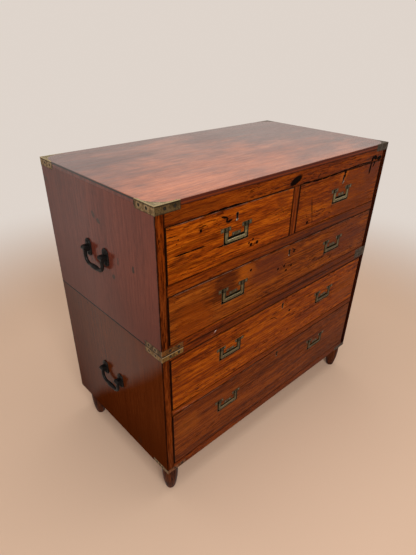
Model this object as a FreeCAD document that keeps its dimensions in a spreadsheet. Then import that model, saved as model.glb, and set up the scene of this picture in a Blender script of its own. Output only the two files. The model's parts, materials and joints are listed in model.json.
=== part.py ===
import FreeCAD, Part
import os
import re

import Sketcher

# A campaign chest: two stacking sections with five drawers, brass-bound corners, flush brass pulls, iron
# carrying handles and four turned feet. Millimetres; the front faces -Y, +X is to the right seen from the
# front, +Z is up, and the origin lies on the floor under the middle of the chest.

SIZES = [
    # the case
    ("case_width", 914, "across the front"),
    ("case_depth", 500, "front to back"),
    ("side_board", 23, "thickness of a side board"),
    ("top_board", 12, "thickness of the top"),
    ("back_board", 10, "thickness of the back boards"),
    ("back_rebate", 10, "how far a back runs into each side board"),
    ("housing", 6, "how far a shelf runs into each side board"),
    ("housing_stop", 14, "setback of a housing behind the front"),
    ("top_rail", 38, "height of the rail under the top"),
    ("top_rail_depth", 40, "front to back of the rail under the top"),
    ("upper_rail", 27, "height of the rail between the short drawers and the long one"),
    ("lower_rail", 20, "height of the rail between the two lower drawers"),
    ("rail_depth", 60, "front to back of the drawer rails"),
    ("dust_board", 10, "thickness of the dustboards behind the rails"),
    ("kicker_width", 20, "width of the strips that keep an open drawer level"),
    ("divider", 23, "thickness of the board between the short drawers"),
    ("upper_floor", 21, "thickness of the upper section's bottom board"),
    ("lower_lid", 22, "thickness of the lower section's top board"),
    ("lower_floor", 25, "thickness of the lower section's bottom board"),
    # the drawer openings
    ("short_opening", 137, "height of the two short drawers' openings"),
    ("long_opening", 136, "height of the upper long drawer's opening"),
    ("middle_opening", 170, "height of the middle drawer's opening"),
    ("bottom_opening", 194, "height of the bottom drawer's opening"),
    # the drawers
    ("front_board", 20, "thickness of a drawer front"),
    ("front_gap", 1.8, "gap round a drawer front"),
    ("run_gap", 0.3, "running gap under a drawer"),
    ("stop_gap", 0.3, "gap between a shut drawer and its stops"),
    ("drawer_side", 10, "thickness of a drawer side or drawer back"),
    ("side_drop", 4, "how far a drawer side stays under the opening's head"),
    ("back_space", 12, "space behind a shut drawer"),
    ("front_lap", 8, "wood left in front of the dovetails"),
    ("tail_slope", 2.4, "how much a dovetail widens on each flank"),
    ("drawer_floor", 7, "thickness of a drawer bottom"),
    ("groove", 5, "depth of the grooves that hold a drawer bottom"),
    ("groove_rise", 8, "height of a drawer bottom over the drawer's lower edge"),
    ("floor_inset", 1, "setback of a drawer bottom's rear edge from the drawer's rear face"),
    ("stop_length", 30, "length of a drawer stop"),
    ("stop_width", 9, "front to back of a drawer stop"),
    ("stop_height", 5, "height of a drawer stop"),
    ("stop_inset", 150, "distance from a drawer's end to its stop"),
    # the brass pulls, measured from the line of their pivots
    ("pull_spread", 446, "distance between the two pulls of a long drawer"),
    ("short_pull_drop", 52, "pull's pivots under the head of a short opening"),
    ("long_pull_drop", 50, "the same on the upper long drawer"),
    ("middle_pull_drop", 56, "the same on the middle drawer"),
    ("bottom_pull_drop", 64, "the same on the bottom drawer"),
    ("ear_reach", 52.5, "middle of a pull to the outer end of an ear"),
    ("ear_start", 18.5, "middle of a pull to the inner end of an ear"),
    ("ear_edge", 1.2, "brass over the channel's upper end, in an ear"),
    ("ear_sheet", 2.5, "thickness of an ear"),
    ("bail_reach", 37.4, "middle of a pull to the outside of its bail"),
    ("bail_bar", 8.2, "width of a bail's legs and bar"),
    ("bail_sheet", 7, "thickness of a bail"),
    ("bail_round", 5, "radius of a bail's outer corners"),
    ("bail_edge", 1.8, "rounding of a bail's front edges"),
    ("bail_drop", 35, "pivots to the lower edge of a bail"),
    ("bail_sink", 2, "depth of the pivots behind the drawer's face"),
    ("channel_outside", 3.6, "channel outside a bail's legs and bar"),
    ("channel_inside", 2.5, "channel inside a bail's legs"),
    ("finger_gap", 6, "channel over a bail's bar, for a fingertip"),
    ("channel_depth", 5.8, "depth of the channel"),
    ("channel_wall", 1.2, "brass round the channel"),
    ("eye_room", 0.8, "channel over a bail's eyes"),
    ("plate_depth", 7, "depth of a pull plate"),
    ("tab_reach", 15, "middle of a pull to the side of its screw tab"),
    ("tab_height", 9.5, "height of the screw tab over the channel"),
    ("tab_screw", 9, "middle of a pull to a screw in the tab"),
    ("bail_pin", 1.2, "radius of a bail's pins"),
    ("pin_gap", 0.05, "clearance round a pin"),
    # keyholes and locks
    ("short_key_drop", 27, "keyhole's middle under the head of a short opening"),
    ("long_key_drop", 25.5, "the same on the upper long drawer"),
    ("middle_key_drop", 25, "the same on the middle drawer"),
    ("bottom_key_drop", 21, "the same on the bottom drawer"),
    ("key_round", 3.2, "radius of a keyhole's round end"),
    ("key_slot", 3.6, "width of a keyhole's slot"),
    ("key_height", 17.5, "height of a keyhole"),
    ("liner_wall", 1.5, "wall of the brass keyhole liner"),
    ("liner_depth", 6, "depth of the keyhole liner"),
    ("lock_width", 58, "width of a lock"),
    ("lock_height", 42, "height of a lock"),
    ("lock_depth", 9, "front to back of a lock"),
    ("selvage_width", 70, "width of a lock's top plate"),
    ("selvage", 2, "thickness of a lock's top plate"),
    ("bolt_width", 25, "width of a lock bolt"),
    ("bolt_sheet", 4.5, "thickness of a lock bolt"),
    ("bolt_height", 22, "height of a lock bolt"),
    ("bolt_gap", 0.3, "clearance round a bolt in its lock"),
    ("bolt_throw", 8, "travel of a lock bolt"),
    ("mortise_gap", 1, "clearance round a raised bolt"),
    # corner straps
    ("strap_sheet", 1.6, "thickness of the corner straps"),
    ("strap_length", 66, "length of a strap's legs"),
    ("top_strap", 21, "height of the top corner straps"),
    ("seam_strap", 17.5, "height of the straps over the seam"),
    ("lid_strap", 16.5, "height of the straps under the seam"),
    ("foot_strap", 15, "height of the straps at the bottom corners"),
    ("strap_end", 16, "radius of the rounded end of a strap's side leg"),
    ("web_reach", 60, "corner to the tip of the web on the top"),
    ("web_edge", 4.5, "width of the web at its tips"),
    ("web_hollow", 21, "depth of the web's hollow edge behind the line of its tips"),
    ("near_screw", 26, "corner to a strap's first screw"),
    ("far_screw", 52, "corner to a strap's second screw"),
    # screws
    ("screw_head", 2.4, "radius of a countersunk head"),
    ("screw_shank", 1.2, "radius of a screw's shank"),
    ("screw_length", 10, "length of a screw"),
    ("head_height", 1.3, "height of a countersunk head"),
    ("slot_width", 0.7, "width of a screw's slot"),
    ("slot_depth", 0.5, "depth of a screw's slot"),
    ("screw_gap", 0.05, "clearance of a screw in its hole"),
    # carrying handles
    ("upper_handle_rise", 186, "handle pivots over the seam"),
    ("lower_handle_rise", 218, "handle pivots over the lower section's underside"),
    ("handle_spread", 81, "distance between a handle's two roses"),
    ("rose_width", 26, "width of a rose"),
    ("rose_height", 48, "height of a rose"),
    ("rose_sheet", 3.5, "thickness of a rose"),
    ("rose_edge", 1.2, "rounding of a rose's edge"),
    ("lug_sheet", 4.3, "thickness of a lug on a rose"),
    ("lug_gap", 10, "gap between a rose's two lugs"),
    ("lug_round", 6.3, "radius of a lug's nose"),
    ("pivot_reach", 13, "handle pivot to the side board"),
    ("handle_pin", 2.5, "radius of a handle's pin"),
    ("eye_round", 6.2, "radius of a handle's eyes"),
    ("eye_width", 9.4, "width of a handle's eyes"),
    ("handle_bar", 4.6, "radius of a handle's bar"),
    ("handle_grip", 6.3, "radius of a handle's thick middle"),
    ("grip_length", 36, "length of a handle's thick middle"),
    ("grip_root", 4.2, "radius of the thick middle at its ends, within the bar"),
    ("handle_drop", 38, "pivot to the middle of a handle's lower bar"),
    ("handle_bend", 18, "radius of a handle's bends"),
    ("rose_screw_head", 4.2, "radius of a rose screw's domed head"),
    ("rose_screw_rise", 2.2, "height of a rose screw's head"),
    ("rose_screw_shank", 2, "radius of a rose screw's shank"),
    ("rose_screw_length", 15, "length of a rose screw's shank"),
    ("rose_screw_spread", 33, "distance between a rose's two screws"),
    # feet and pegs
    ("foot_height", 100, "floor to the underside of the case"),
    ("foot_inset", 28, "side and front faces to the middle of a foot"),
    ("rear_foot_inset", 62, "back face to the middle of a rear foot"),
    ("foot_collar", 25, "radius of a foot's collar"),
    ("collar_height", 7, "height of a foot's collar"),
    ("collar_slope", 2, "height of the slope under a foot's collar"),
    ("foot_neck", 23.5, "radius of a foot's neck"),
    ("foot_bulge", 300, "radius of a foot's swelling"),
    ("foot_toe", 15, "radius at the top of a foot's toe"),
    ("foot_sole", 13, "radius of a foot's sole"),
    ("toe_height", 5, "height of a foot's toe"),
    ("spigot", 7, "radius of a foot's spigot"),
    ("spigot_length", 20, "length of a foot's spigot"),
    ("peg", 8, "radius of a locating peg"),
    ("peg_rise", 12, "height of a peg over the seam"),
    ("peg_root", 16, "depth of a peg under the seam"),
    ("peg_cone", 2, "height and width of the slope at a peg's top"),
    ("peg_inset", 70, "side faces to the middle of a peg"),
    ("peg_setback", 90, "front and back faces to the middle of a peg"),
    ("peg_gap", 0.4, "clearance round and over a peg"),
]
TAILS = {"short": 3, "long": 3, "middle": 4, "bottom": 4}

doc = FreeCAD.newDocument("campaign_chest")
sheet = doc.addObject("Spreadsheet::Sheet", "Sizes")
for row, (alias, size, meaning) in enumerate(SIZES, start=1):
    sheet.set(f"A{row}", alias)
    sheet.set(f"B{row}", str(size))
    sheet.set(f"C{row}", meaning)
    sheet.setAlias(f"B{row}", alias)
doc.recompute()
ALIASES = {alias for alias, _, _ in SIZES}
Vector = FreeCAD.Vector
parts = {}


# ---------------------------------------------------------------- helpers

def expand(text):
    """Puts the sheet's name before each alias of an expression."""
    return re.sub(r"[a-z_]+", lambda m: "Sizes." + m.group() if m.group() in ALIASES else m.group(), text)


def number(text):
    """The value that an expression has now."""
    return float(sheet.evalExpression(expand(text)))


def bind(thing, prop, text):
    """Ties a property to an expression of the sheet's sizes."""
    thing.setExpression(prop, expand(text))


def total(*terms):
    return "(" + " + ".join(terms) + ")"


def place(thing, spot, turn=None):
    """Puts a thing at a spot of three expressions, turned by (axis, degrees) or three axes."""
    if turn:
        thing.Placement = FreeCAD.Placement(Vector(), FreeCAD.Rotation(*turn))
    for letter, text in zip("xyz", spot):
        bind(thing, "Placement.Base." + letter, text)
    return thing


def new_body(name, spot=("0", "0", "0")):
    body = doc.addObject("PartDesign::Body", name)
    body.Label = name
    return place(body, spot)


def new_sketch(body, plane, offset="0"):
    """An empty sketch on one of the body's own origin planes, moved along the plane's normal."""
    sketch = body.newObject("Sketcher::SketchObject", body.Name + "_sketch")
    origin = next(f for f in body.Origin.OriginFeatures if f.Role == plane + "_Plane")
    sketch.AttachmentSupport = [(origin, "")]
    sketch.MapMode = "FlatFace"
    bind(sketch, "AttachmentOffset.Base.z", offset)
    return sketch


def fix(sketch, kind, place_of, text):
    """Adds a dimension that follows an expression."""
    index = sketch.addConstraint(Sketcher.Constraint(kind, *place_of, number(text)))
    label = f"size_{index}"
    sketch.renameConstraint(index, label)
    sketch.setExpression("Constraints." + label, expand(text))


def fix_point(sketch, edge, end, u, v):
    fix(sketch, "DistanceX", (-1, 1, edge, end), u)
    fix(sketch, "DistanceY", (-1, 1, edge, end), v)


def arc_between(start, end, radius):
    """An arc of less than half a turn. A positive radius bends to the left of the way from start to end."""
    chord = end - start
    half = chord.Length / 2
    left = Vector(-chord.y, chord.x, 0).normalize()
    size = abs(radius)
    rise = size - (size * size - half * half) ** 0.5
    middle = start + chord * 0.5 + left * (rise if radius > 0 else -rise)
    return Part.Arc(start, middle, end)


def outline(sketch, corners, closed=True):
    """Draws a line through corners. A corner is (u, v), or (u, v, side, radius) where an arc starts there:
    side 1 bends it to the left of the line's way and side -1 to the right."""
    spots = [Vector(number(c[0]), number(c[1]), 0) for c in corners]
    count = len(corners) if closed else len(corners) - 1
    ends = []
    for k in range(count):
        start, end = spots[k], spots[(k + 1) % len(spots)]
        if len(corners[k]) == 2:
            edge = sketch.addGeometry(Part.LineSegment(start, end))
            ends.append((edge, 1, 2))
            continue
        side, radius = corners[k][2:]
        edge = sketch.addGeometry(arc_between(start, end, side * number(radius)))
        flipped = (sketch.getPoint(edge, 1) - start).Length > (sketch.getPoint(edge, 2) - start).Length
        ends.append((edge, 2, 1) if flipped else (edge, 1, 2))
        fix(sketch, "Radius", (edge,), radius)
    for k, (edge, first, last) in enumerate(ends):
        fix_point(sketch, edge, first, *corners[k][:2])
        if closed or k + 1 < count:
            following = ends[(k + 1) % len(ends)]
            sketch.addConstraint(Sketcher.Constraint("Coincident", edge, last, following[0], following[1]))
        else:
            fix_point(sketch, edge, last, *corners[-1][:2])
    return sketch


def ring(sketch, u, v, radius):
    """Draws a circle."""
    edge = sketch.addGeometry(Part.Circle(Vector(number(u), number(v), 0), Vector(0, 0, 1), number(radius)))
    fix(sketch, "Radius", (edge,), radius)
    fix_point(sketch, edge, 3, u, v)
    return sketch


def rectangle(left, low, right, high):
    return [(left, low), (right, low), (right, high), (left, high)]


def bow(half, rise):
    """Radius of an arc over half a chord that rises by a given height."""
    return f"((({half})^2 + ({rise})^2) / (2 * ({rise})))"


def raise_pad(body, sketch, length, back=False):
    """Pads a sketch along its normal, or against it."""
    pad = body.newObject("PartDesign::Pad", body.Name + "_pad")
    pad.Profile = sketch
    bind(pad, "Length", length)
    pad.Reversed = back
    return pad


def sink_pocket(body, sketch, length, back=False):
    """Cuts a sketch into the body against the sketch's normal, or along it."""
    pocket = body.newObject("PartDesign::Pocket", body.Name + "_pocket")
    pocket.Profile = sketch
    bind(pocket, "Length", length)
    pocket.Reversed = back
    return pocket


def turn_up(body, sketch, axis="V_Axis"):
    """Revolves a sketch about one of its axes or edges."""
    turned = body.newObject("PartDesign::Revolution", body.Name + "_turned")
    turned.Profile = sketch
    turned.ReferenceAxis = (sketch, [axis])
    turned.Angle = 360
    return turned


def round_edges(body, feature, radius, chosen):
    """Fillets the edges of the body's last feature whose ends are all chosen."""
    doc.recompute()
    names = [
        f"Edge{i}"
        for i, edge in enumerate(feature.Shape.Edges, start=1)
        if all(chosen(vertex.Point) for vertex in edge.Vertexes)
    ]
    fillet = body.newObject("PartDesign::Fillet", body.Name + "_fillet")
    fillet.Base = (feature, names)
    bind(fillet, "Radius", radius)
    return fillet


def board(name, spot, size):
    """A plain board: spot is its left front bottom corner, size its width, depth and height."""
    body = new_body(name, spot)
    sketch = outline(new_sketch(body, "XY"), rectangle("0", "0", size[0], size[1]))
    raise_pad(body, sketch, size[2])
    return body


def group(name, members):
    """Several pieces under one name."""
    compound = doc.addObject("Part::Compound", name)
    compound.Label = name
    compound.Links = members
    return compound


def copy_of(name, source, spot, turn=None):
    return place(group(name, [source]), spot, turn)


def mirrored(name, source, normal):
    mirror = doc.addObject("Part::Mirroring", name)
    mirror.Label = name
    mirror.Source = source
    mirror.Normal = normal
    return mirror


def let_in(name, wood, pieces):
    """Cuts the seats of the pieces that are let into a board."""
    tool = pieces[0]
    if len(pieces) > 1:
        tool = doc.addObject("Part::MultiFuse", name + "_seats")
        tool.Shapes = pieces
    cut = doc.addObject("Part::Cut", name)
    cut.Label = name
    cut.Base = wood
    cut.Tool = tool
    return cut


def keep(name, thing):
    """Marks a thing as a finished sub-part, written under its label."""
    thing.Label = name
    parts[name] = thing
    return thing


ACROSS, ALONG = Vector(1, 0, 0), Vector(0, 1, 0)
TO_FRONT = (ACROSS, 90)
TO_LEFT = (ALONG, -90)
HALF_TURN = " * 1.0001"  # an arc's radius for a chord of twice its size


# ---------------------------------------------------------------- levels and faces

FRONT = "(-case_depth / 2)"
BACK = "(case_depth / 2 - back_board)"
LEFT = "(-case_width / 2)"
INNER_LEFT = "(side_board - case_width / 2)"
INNER_WIDTH = "(case_width - 2 * side_board)"
INNER_DEPTH = "(case_depth - back_board)"

CASE_BASE = "foot_height"
BOTTOM_RUN = total(CASE_BASE, "lower_floor")
BOTTOM_HEAD = total(BOTTOM_RUN, "bottom_opening")
MIDDLE_RUN = total(BOTTOM_HEAD, "lower_rail")
MIDDLE_HEAD = total(MIDDLE_RUN, "middle_opening")
SEAM = total(MIDDLE_HEAD, "lower_lid")
LONG_RUN = total(SEAM, "upper_floor")
LONG_HEAD = total(LONG_RUN, "long_opening")
SHORT_RUN = total(LONG_HEAD, "upper_rail")
SHORT_HEAD = total(SHORT_RUN, "short_opening")
TOP_UNDERSIDE = total(SHORT_HEAD, "top_rail")
CHEST_TOP = total(TOP_UNDERSIDE, "top_board")

SHORT_WIDTH = "((case_width - 2 * side_board - divider) / 2)"
SHORT_CENTRE = "((case_width - 2 * side_board + divider) / 4)"


# ---------------------------------------------------------------- screws

def screw_blank(name, gap):
    """A countersunk screw with its head's face at the origin and its shank down -Z, grown by a gap."""
    body = new_body(name)
    head, shank = f"(screw_head + {gap})", f"(screw_shank + {gap})"
    profile = [
        ("0", "0"),
        (head, "0"),
        (shank, "-head_height"),
        (shank, "-screw_length + screw_shank"),
        ("0", f"-screw_length - {gap}"),
    ]
    turn_up(body, outline(new_sketch(body, "XZ"), profile))
    return body


def screw():
    body = screw_blank("screw", "0")
    slot = rectangle("-screw_head * 2", "-slot_width / 2", "screw_head * 2", "slot_width / 2")
    sink_pocket(body, outline(new_sketch(body, "XY"), slot), "slot_depth")
    return body


def rose_screw_blank(name, gap):
    """A domed screw: the rose's face is at the origin, the head stands up +Z and the shank runs down."""
    body = new_body(name)
    shank = f"(rose_screw_shank + {gap})"
    profile = [
        ("0", "rose_screw_rise", 1, bow("rose_screw_head", "rose_screw_rise")),
        ("rose_screw_head", "0"),
        (shank, "0"),
        (shank, f"-rose_screw_length - {gap}"),
        ("0", f"-rose_screw_length - {gap}"),
    ]
    turn_up(body, outline(new_sketch(body, "XZ"), profile))
    return body


def rose_screw():
    body = rose_screw_blank("rose_screw", "0")
    slot = rectangle("-rose_screw_head * 2", "-slot_width / 2", "rose_screw_head * 2", "slot_width / 2")
    sink_pocket(body, outline(new_sketch(body, "XY", "rose_screw_rise"), slot), "2 * slot_depth")
    return body


SCREW = screw()
SCREW_HOLE = screw_blank("screw_hole", "screw_gap")
ROSE_SCREW = rose_screw()
ROSE_SCREW_HOLE = rose_screw_blank("rose_screw_hole", "screw_gap")


# ---------------------------------------------------------------- the brass pull
# The pull is drawn with its pivots on the X axis and the drawer's face in the plane y = 0; the wood is at +y.

BAIL_INNER = "(bail_reach - bail_bar)"
CHANNEL_OUTER = "(bail_reach + channel_outside)"
CHANNEL_INNER = "(bail_reach - bail_bar - channel_inside)"
CHANNEL_LOW = "(bail_drop + channel_outside)"
CHANNEL_HIGH = "(bail_drop - bail_bar - finger_gap)"
PLATE_OUTER = total(CHANNEL_OUTER, "channel_wall")
PLATE_INNER = f"({CHANNEL_INNER} - channel_wall)"
CHANNEL_TOP = "(bail_sheet / 2 + eye_room)"
EAR_HALF = total(CHANNEL_TOP, "ear_edge")


def pull_blank(name):
    """The plate before its channel is cut: a U with two ears and a tab for the lower screws."""
    body = new_body(name)
    low, high = total(CHANNEL_LOW, "channel_wall"), f"({CHANNEL_HIGH} - channel_wall)"
    tab_top = f"(tab_height - {CHANNEL_HIGH})"
    shape = [
        ("-" + PLATE_OUTER, EAR_HALF),
        ("-" + PLATE_OUTER, "-" + low),
        (PLATE_OUTER, "-" + low),
        (PLATE_OUTER, EAR_HALF),
        (PLATE_INNER, EAR_HALF),
        (PLATE_INNER, "-" + high),
        ("tab_reach", "-" + high),
        ("tab_reach", tab_top),
        ("-tab_reach", tab_top),
        ("-tab_reach", "-" + high),
        ("-" + PLATE_INNER, "-" + high),
        ("-" + PLATE_INNER, EAR_HALF),
    ]
    raise_pad(body, outline(new_sketch(body, "XZ"), shape), "plate_depth", back=True)
    for side in ("-1", "1"):
        ear = rectangle(f"{side} * ear_start", "-" + EAR_HALF, f"{side} * ear_reach", EAR_HALF)
        raise_pad(body, outline(new_sketch(body, "XZ"), ear), "ear_sheet", back=True)
    return body


def pull_screw_spots():
    """Middles of the pull's six screws, in the plane of the drawer's face."""
    outer = f"((ear_reach + {PLATE_OUTER}) / 2)"
    inner = f"((ear_start + {PLATE_INNER}) / 2)"
    tab = f"(tab_height / 2 + channel_wall / 2 - {CHANNEL_HIGH})"
    return [(f"{s} * {u}", v) for s in ("-1", "1") for u, v in
            ((outer, "0"), (inner, "0"), ("tab_screw", tab))]


def pull_screws(name, source):
    spots = pull_screw_spots()
    return group(name, [
        copy_of(f"{name}_{k}", source, (u, "0", v), TO_FRONT) for k, (u, v) in enumerate(spots)
    ])


def pull_plate():
    body = pull_blank("pull_plate_blank")
    channel = [
        ("-" + CHANNEL_OUTER, CHANNEL_TOP),
        ("-" + CHANNEL_OUTER, "-" + CHANNEL_LOW),
        (CHANNEL_OUTER, "-" + CHANNEL_LOW),
        (CHANNEL_OUTER, CHANNEL_TOP),
        (CHANNEL_INNER, CHANNEL_TOP),
        (CHANNEL_INNER, "-" + CHANNEL_HIGH),
        ("-" + CHANNEL_INNER, "-" + CHANNEL_HIGH),
        ("-" + CHANNEL_INNER, CHANNEL_TOP),
    ]
    sink_pocket(body, outline(new_sketch(body, "XZ"), channel), "channel_depth")
    for start in ("-" + PLATE_OUTER, PLATE_INNER):
        hole = ring(new_sketch(body, "YZ", start), "bail_sink", "0", "bail_pin + pin_gap")
        sink_pocket(body, hole, f"{PLATE_OUTER} - {PLATE_INNER}", back=True)
    return let_in("pull_plate", body, [pull_screws("pull_screw_holes", SCREW_HOLE)])


def pull_bail():
    """The lifting bail: a flat U with rounded corners, an eye at the top of each leg and a pin through it."""
    body = new_body("pull_bail")
    bend = "(bail_reach - bail_round)"
    shape = [
        ("-bail_reach", "0"),
        ("-bail_reach", "bail_round - bail_drop", -1, "bail_round"),
        ("-" + bend, "-bail_drop"),
        (bend, "-bail_drop", -1, "bail_round"),
        ("bail_reach", "bail_round - bail_drop"),
        ("bail_reach", "0"),
        (BAIL_INNER, "0"),
        (BAIL_INNER, "bail_bar - bail_drop"),
        ("-" + BAIL_INNER, "bail_bar - bail_drop"),
        ("-" + BAIL_INNER, "0"),
    ]
    flat = raise_pad(
        body, outline(new_sketch(body, "XZ", "bail_sheet / 2 - bail_sink"), shape), "bail_sheet", back=True
    )
    face = number("bail_sink - bail_sheet / 2")
    round_edges(body, flat, "bail_edge", lambda p: abs(p.y - face) < 0.001 and p.z < 0.001)
    for start in ("-bail_reach", BAIL_INNER):
        eye = ring(new_sketch(body, "YZ", start), "bail_sink", "0", "bail_sheet / 2")
        raise_pad(body, eye, "bail_bar")
    for start in (f"(pin_gap - {PLATE_OUTER})", f"({PLATE_INNER} + pin_gap)"):
        pin = ring(new_sketch(body, "YZ", start), "bail_sink", "0", "bail_pin")
        raise_pad(body, pin, f"{PLATE_OUTER} - {PLATE_INNER} - 2 * pin_gap")
    return body


PULL_PLATE = pull_plate()
PULL_BAIL = pull_bail()
PULL_SCREWS = pull_screws("pull_screws", SCREW)
PULL_SEAT = doc.addObject("Part::MultiFuse", "pull_seat")
PULL_SEAT.Shapes = [pull_blank("pull_seat_blank"), pull_screws("pull_seat_screws", SCREW_HOLE)]


# ---------------------------------------------------------------- keyhole liner, lock and bolt
# A keyhole is drawn with its middle at the origin and the drawer's face in the plane y = 0. A lock is drawn
# with the middle of its top plate at the origin and its front in the plane y = 0.

def keyhole(name, wall, depth):
    """A round hole over a slot, grown by a wall."""
    body = new_body(name)
    radius, half = f"(key_round + {wall})", f"(key_slot / 2 + {wall})"
    high, low = "(key_height / 2 - key_round)", f"(-key_height / 2 - {wall})"
    raise_pad(body, ring(new_sketch(body, "XZ"), "0", high, radius), depth, back=True)
    slot = rectangle("-" + half, low, half, high)
    raise_pad(body, outline(new_sketch(body, "XZ"), slot), depth, back=True)
    return body


def lock_blank(name):
    """The lock's case with its top plate."""
    body = new_body(name)
    case = rectangle("-lock_width / 2", "0", "lock_width / 2", "lock_depth")
    raise_pad(body, outline(new_sketch(body, "XY"), case), "lock_height", back=True)
    plate = rectangle("-selvage_width / 2", "0", "selvage_width / 2", "lock_depth")
    raise_pad(body, outline(new_sketch(body, "XY"), plate), "selvage", back=True)
    return body


def lock_case():
    body = lock_blank("lock_case")
    half, sheet_half = "(bolt_width / 2 + bolt_gap)", "(bolt_sheet / 2 + bolt_gap)"
    slot = rectangle("-" + half, f"lock_depth / 2 - {sheet_half}", half, f"lock_depth / 2 + {sheet_half}")
    sink_pocket(body, outline(new_sketch(body, "XY"), slot), "bolt_height + bolt_gap")
    return body


def lock_bolt():
    body = new_body("lock_bolt")
    middle = "lock_depth / 2"
    bar = rectangle("-bolt_width / 2", f"{middle} - bolt_sheet / 2", "bolt_width / 2",
                    f"{middle} + bolt_sheet / 2")
    raise_pad(body, outline(new_sketch(body, "XY"), bar), "bolt_height", back=True)
    return body


KEY_LINER_BLANK = keyhole("key_liner_blank", "liner_wall", "liner_depth")
KEY_OPENING = keyhole("key_opening", "0", "front_board")
KEY_LINER = let_in("key_liner", KEY_LINER_BLANK, [KEY_OPENING])
LOCK_BLANK = lock_blank("lock_blank")
LOCK_CASE = lock_case()
LOCK_BOLT = lock_bolt()


# ---------------------------------------------------------------- drawers

def tail_row(edge, tip, low, high, count):
    """Corners of a row of dovetails along a board's end, from low to high: each tail is as wide as the gap
    between two of them, and widens towards its tip."""
    step = f"(({high} - {low}) / {2 * count})"
    points = []
    for k in range(count):
        first = f"({low} + {step} * {2 * k + 0.5})"
        last = f"({low} + {step} * {2 * k + 1.5})"
        points += [
            (edge, first),
            (tip, f"({first} - tail_slope)"),
            (tip, f"({last} + tail_slope)"),
            (edge, last),
        ]
    return points


def drawer_side(name, depth, height, tails):
    """A drawer side, drawn in its length and height, with dovetails at both ends. Its length starts at the
    front's inner face and ends at the inner face of the drawer back."""
    body = new_body(name)
    inner_front = "front_board"
    inner_back = f"({depth} - drawer_side)"
    row = [("front_board", "0")]
    row += tail_row(inner_front, "front_lap", "0", height, tails)
    row += [("front_board", height), (inner_back, height)]
    row += tail_row(inner_back, depth, "0", height, tails)[::-1]
    row += [(inner_back, "0")]
    raise_pad(body, outline(new_sketch(body, "YZ"), row), "drawer_side")
    return body


def drawer(label, kind, centre, run, opening, pull_offsets):
    """One drawer with its lock and pulls. centre is its middle across, run the level it slides on, opening
    the name of its opening's height and pull_offsets the pulls' places from its middle."""
    width = SHORT_WIDTH if kind == "short" else INNER_WIDTH
    half = f"({width} / 2 - front_gap)"
    depth = f"({INNER_DEPTH} - back_space)"
    side_height = f"({opening} - run_gap - side_drop)"
    left = f"({centre} - {half})"
    right = f"({centre} + {half})"
    base = total(run, "run_gap")
    head = total(run, opening)

    front = board(
        label + "_front_board",
        (left, FRONT, total(run, "front_gap")),
        (f"2 * {half}", "front_board", f"{opening} - 2 * front_gap"),
    )
    floor = board(
        label + "_bottom",
        (f"({left} + drawer_side - groove)", f"({FRONT} + front_board - groove)", total(base, "groove_rise")),
        (
            f"2 * ({half} - drawer_side + groove)",
            f"{depth} - front_board + groove - floor_inset",
            "drawer_floor",
        ),
    )
    side = drawer_side(label + "_side", depth, side_height, TAILS[kind])
    sides = [
        copy_of(f"{label}_side_{k}", side, (x, FRONT, base))
        for k, x in enumerate((left, f"({right} - drawer_side)"))
    ]
    grooved = [let_in(f"{label}_grooved_side_{k}", one, [floor]) for k, one in enumerate(sides)]
    rear_base = total(base, "groove_rise", "drawer_floor")
    rear = board(
        label + "_rear_board",
        (left, f"({FRONT} + {depth} - drawer_side)", rear_base),
        (f"2 * {half}", "drawer_side", f"{side_height} - groove_rise - drawer_floor"),
    )
    rear = let_in(label + "_rear", rear, grooved)
    keep(label + "_box", group(label + "_box", grooved + [rear]))
    keep(label + "_bottom", floor)

    pull_level = f"({head} - {kind}_pull_drop)"
    key_spot = (centre, FRONT, f"({head} - {kind}_key_drop)")
    lock_spot = (centre, f"({FRONT} + front_board - lock_depth)", f"({head} - front_gap)")
    seats = [
        copy_of(label + "_liner_seat", KEY_LINER_BLANK, key_spot),
        copy_of(label + "_key_way", KEY_OPENING, key_spot),
        copy_of(label + "_lock_seat", LOCK_BLANK, lock_spot),
    ]
    brass = [
        copy_of(label + "_liner", KEY_LINER, key_spot),
        let_in(label + "_lock", copy_of(label + "_lock_case", LOCK_CASE, lock_spot),
               [copy_of(label + "_lock_key_way", KEY_OPENING, key_spot)]),
    ]
    for k, offset in enumerate(pull_offsets, start=1):
        spot = (f"({centre} + {offset})", FRONT, pull_level)
        seats.append(copy_of(f"{label}_pull_{k}_seat", PULL_SEAT, spot))
        brass.append(copy_of(f"{label}_pull_{k}_plate", PULL_PLATE, spot))
        brass.append(copy_of(f"{label}_pull_{k}_screws", PULL_SCREWS, spot))
        suffix = f"_{k}" if len(pull_offsets) > 1 else ""
        keep(f"{label}_bail{suffix}", copy_of(f"{label}_bail{suffix}", PULL_BAIL, spot))
    keep(label + "_brass", group(label + "_brass", brass))
    keep(label + "_lock_bolt", copy_of(label + "_lock_bolt", LOCK_BOLT, lock_spot))
    keep(label + "_front", let_in(label + "_front", front, seats + grooved + [floor]))


PULL_PAIR = ["-pull_spread / 2", "pull_spread / 2"]
drawer("drawer_1", "short", "-" + SHORT_CENTRE, SHORT_RUN, "short_opening", ["0"])
drawer("drawer_2", "short", SHORT_CENTRE, SHORT_RUN, "short_opening", ["0"])
drawer("drawer_3", "long", "0", LONG_RUN, "long_opening", PULL_PAIR)
drawer("drawer_4", "middle", "0", MIDDLE_RUN, "middle_opening", PULL_PAIR)
drawer("drawer_5", "bottom", "0", BOTTOM_RUN, "bottom_opening", PULL_PAIR)


# ---------------------------------------------------------------- corner straps
# A strap is drawn at a left front corner, with the corner's vertical edge on the Z axis and its lower edge
# in the plane z = 0.

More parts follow.
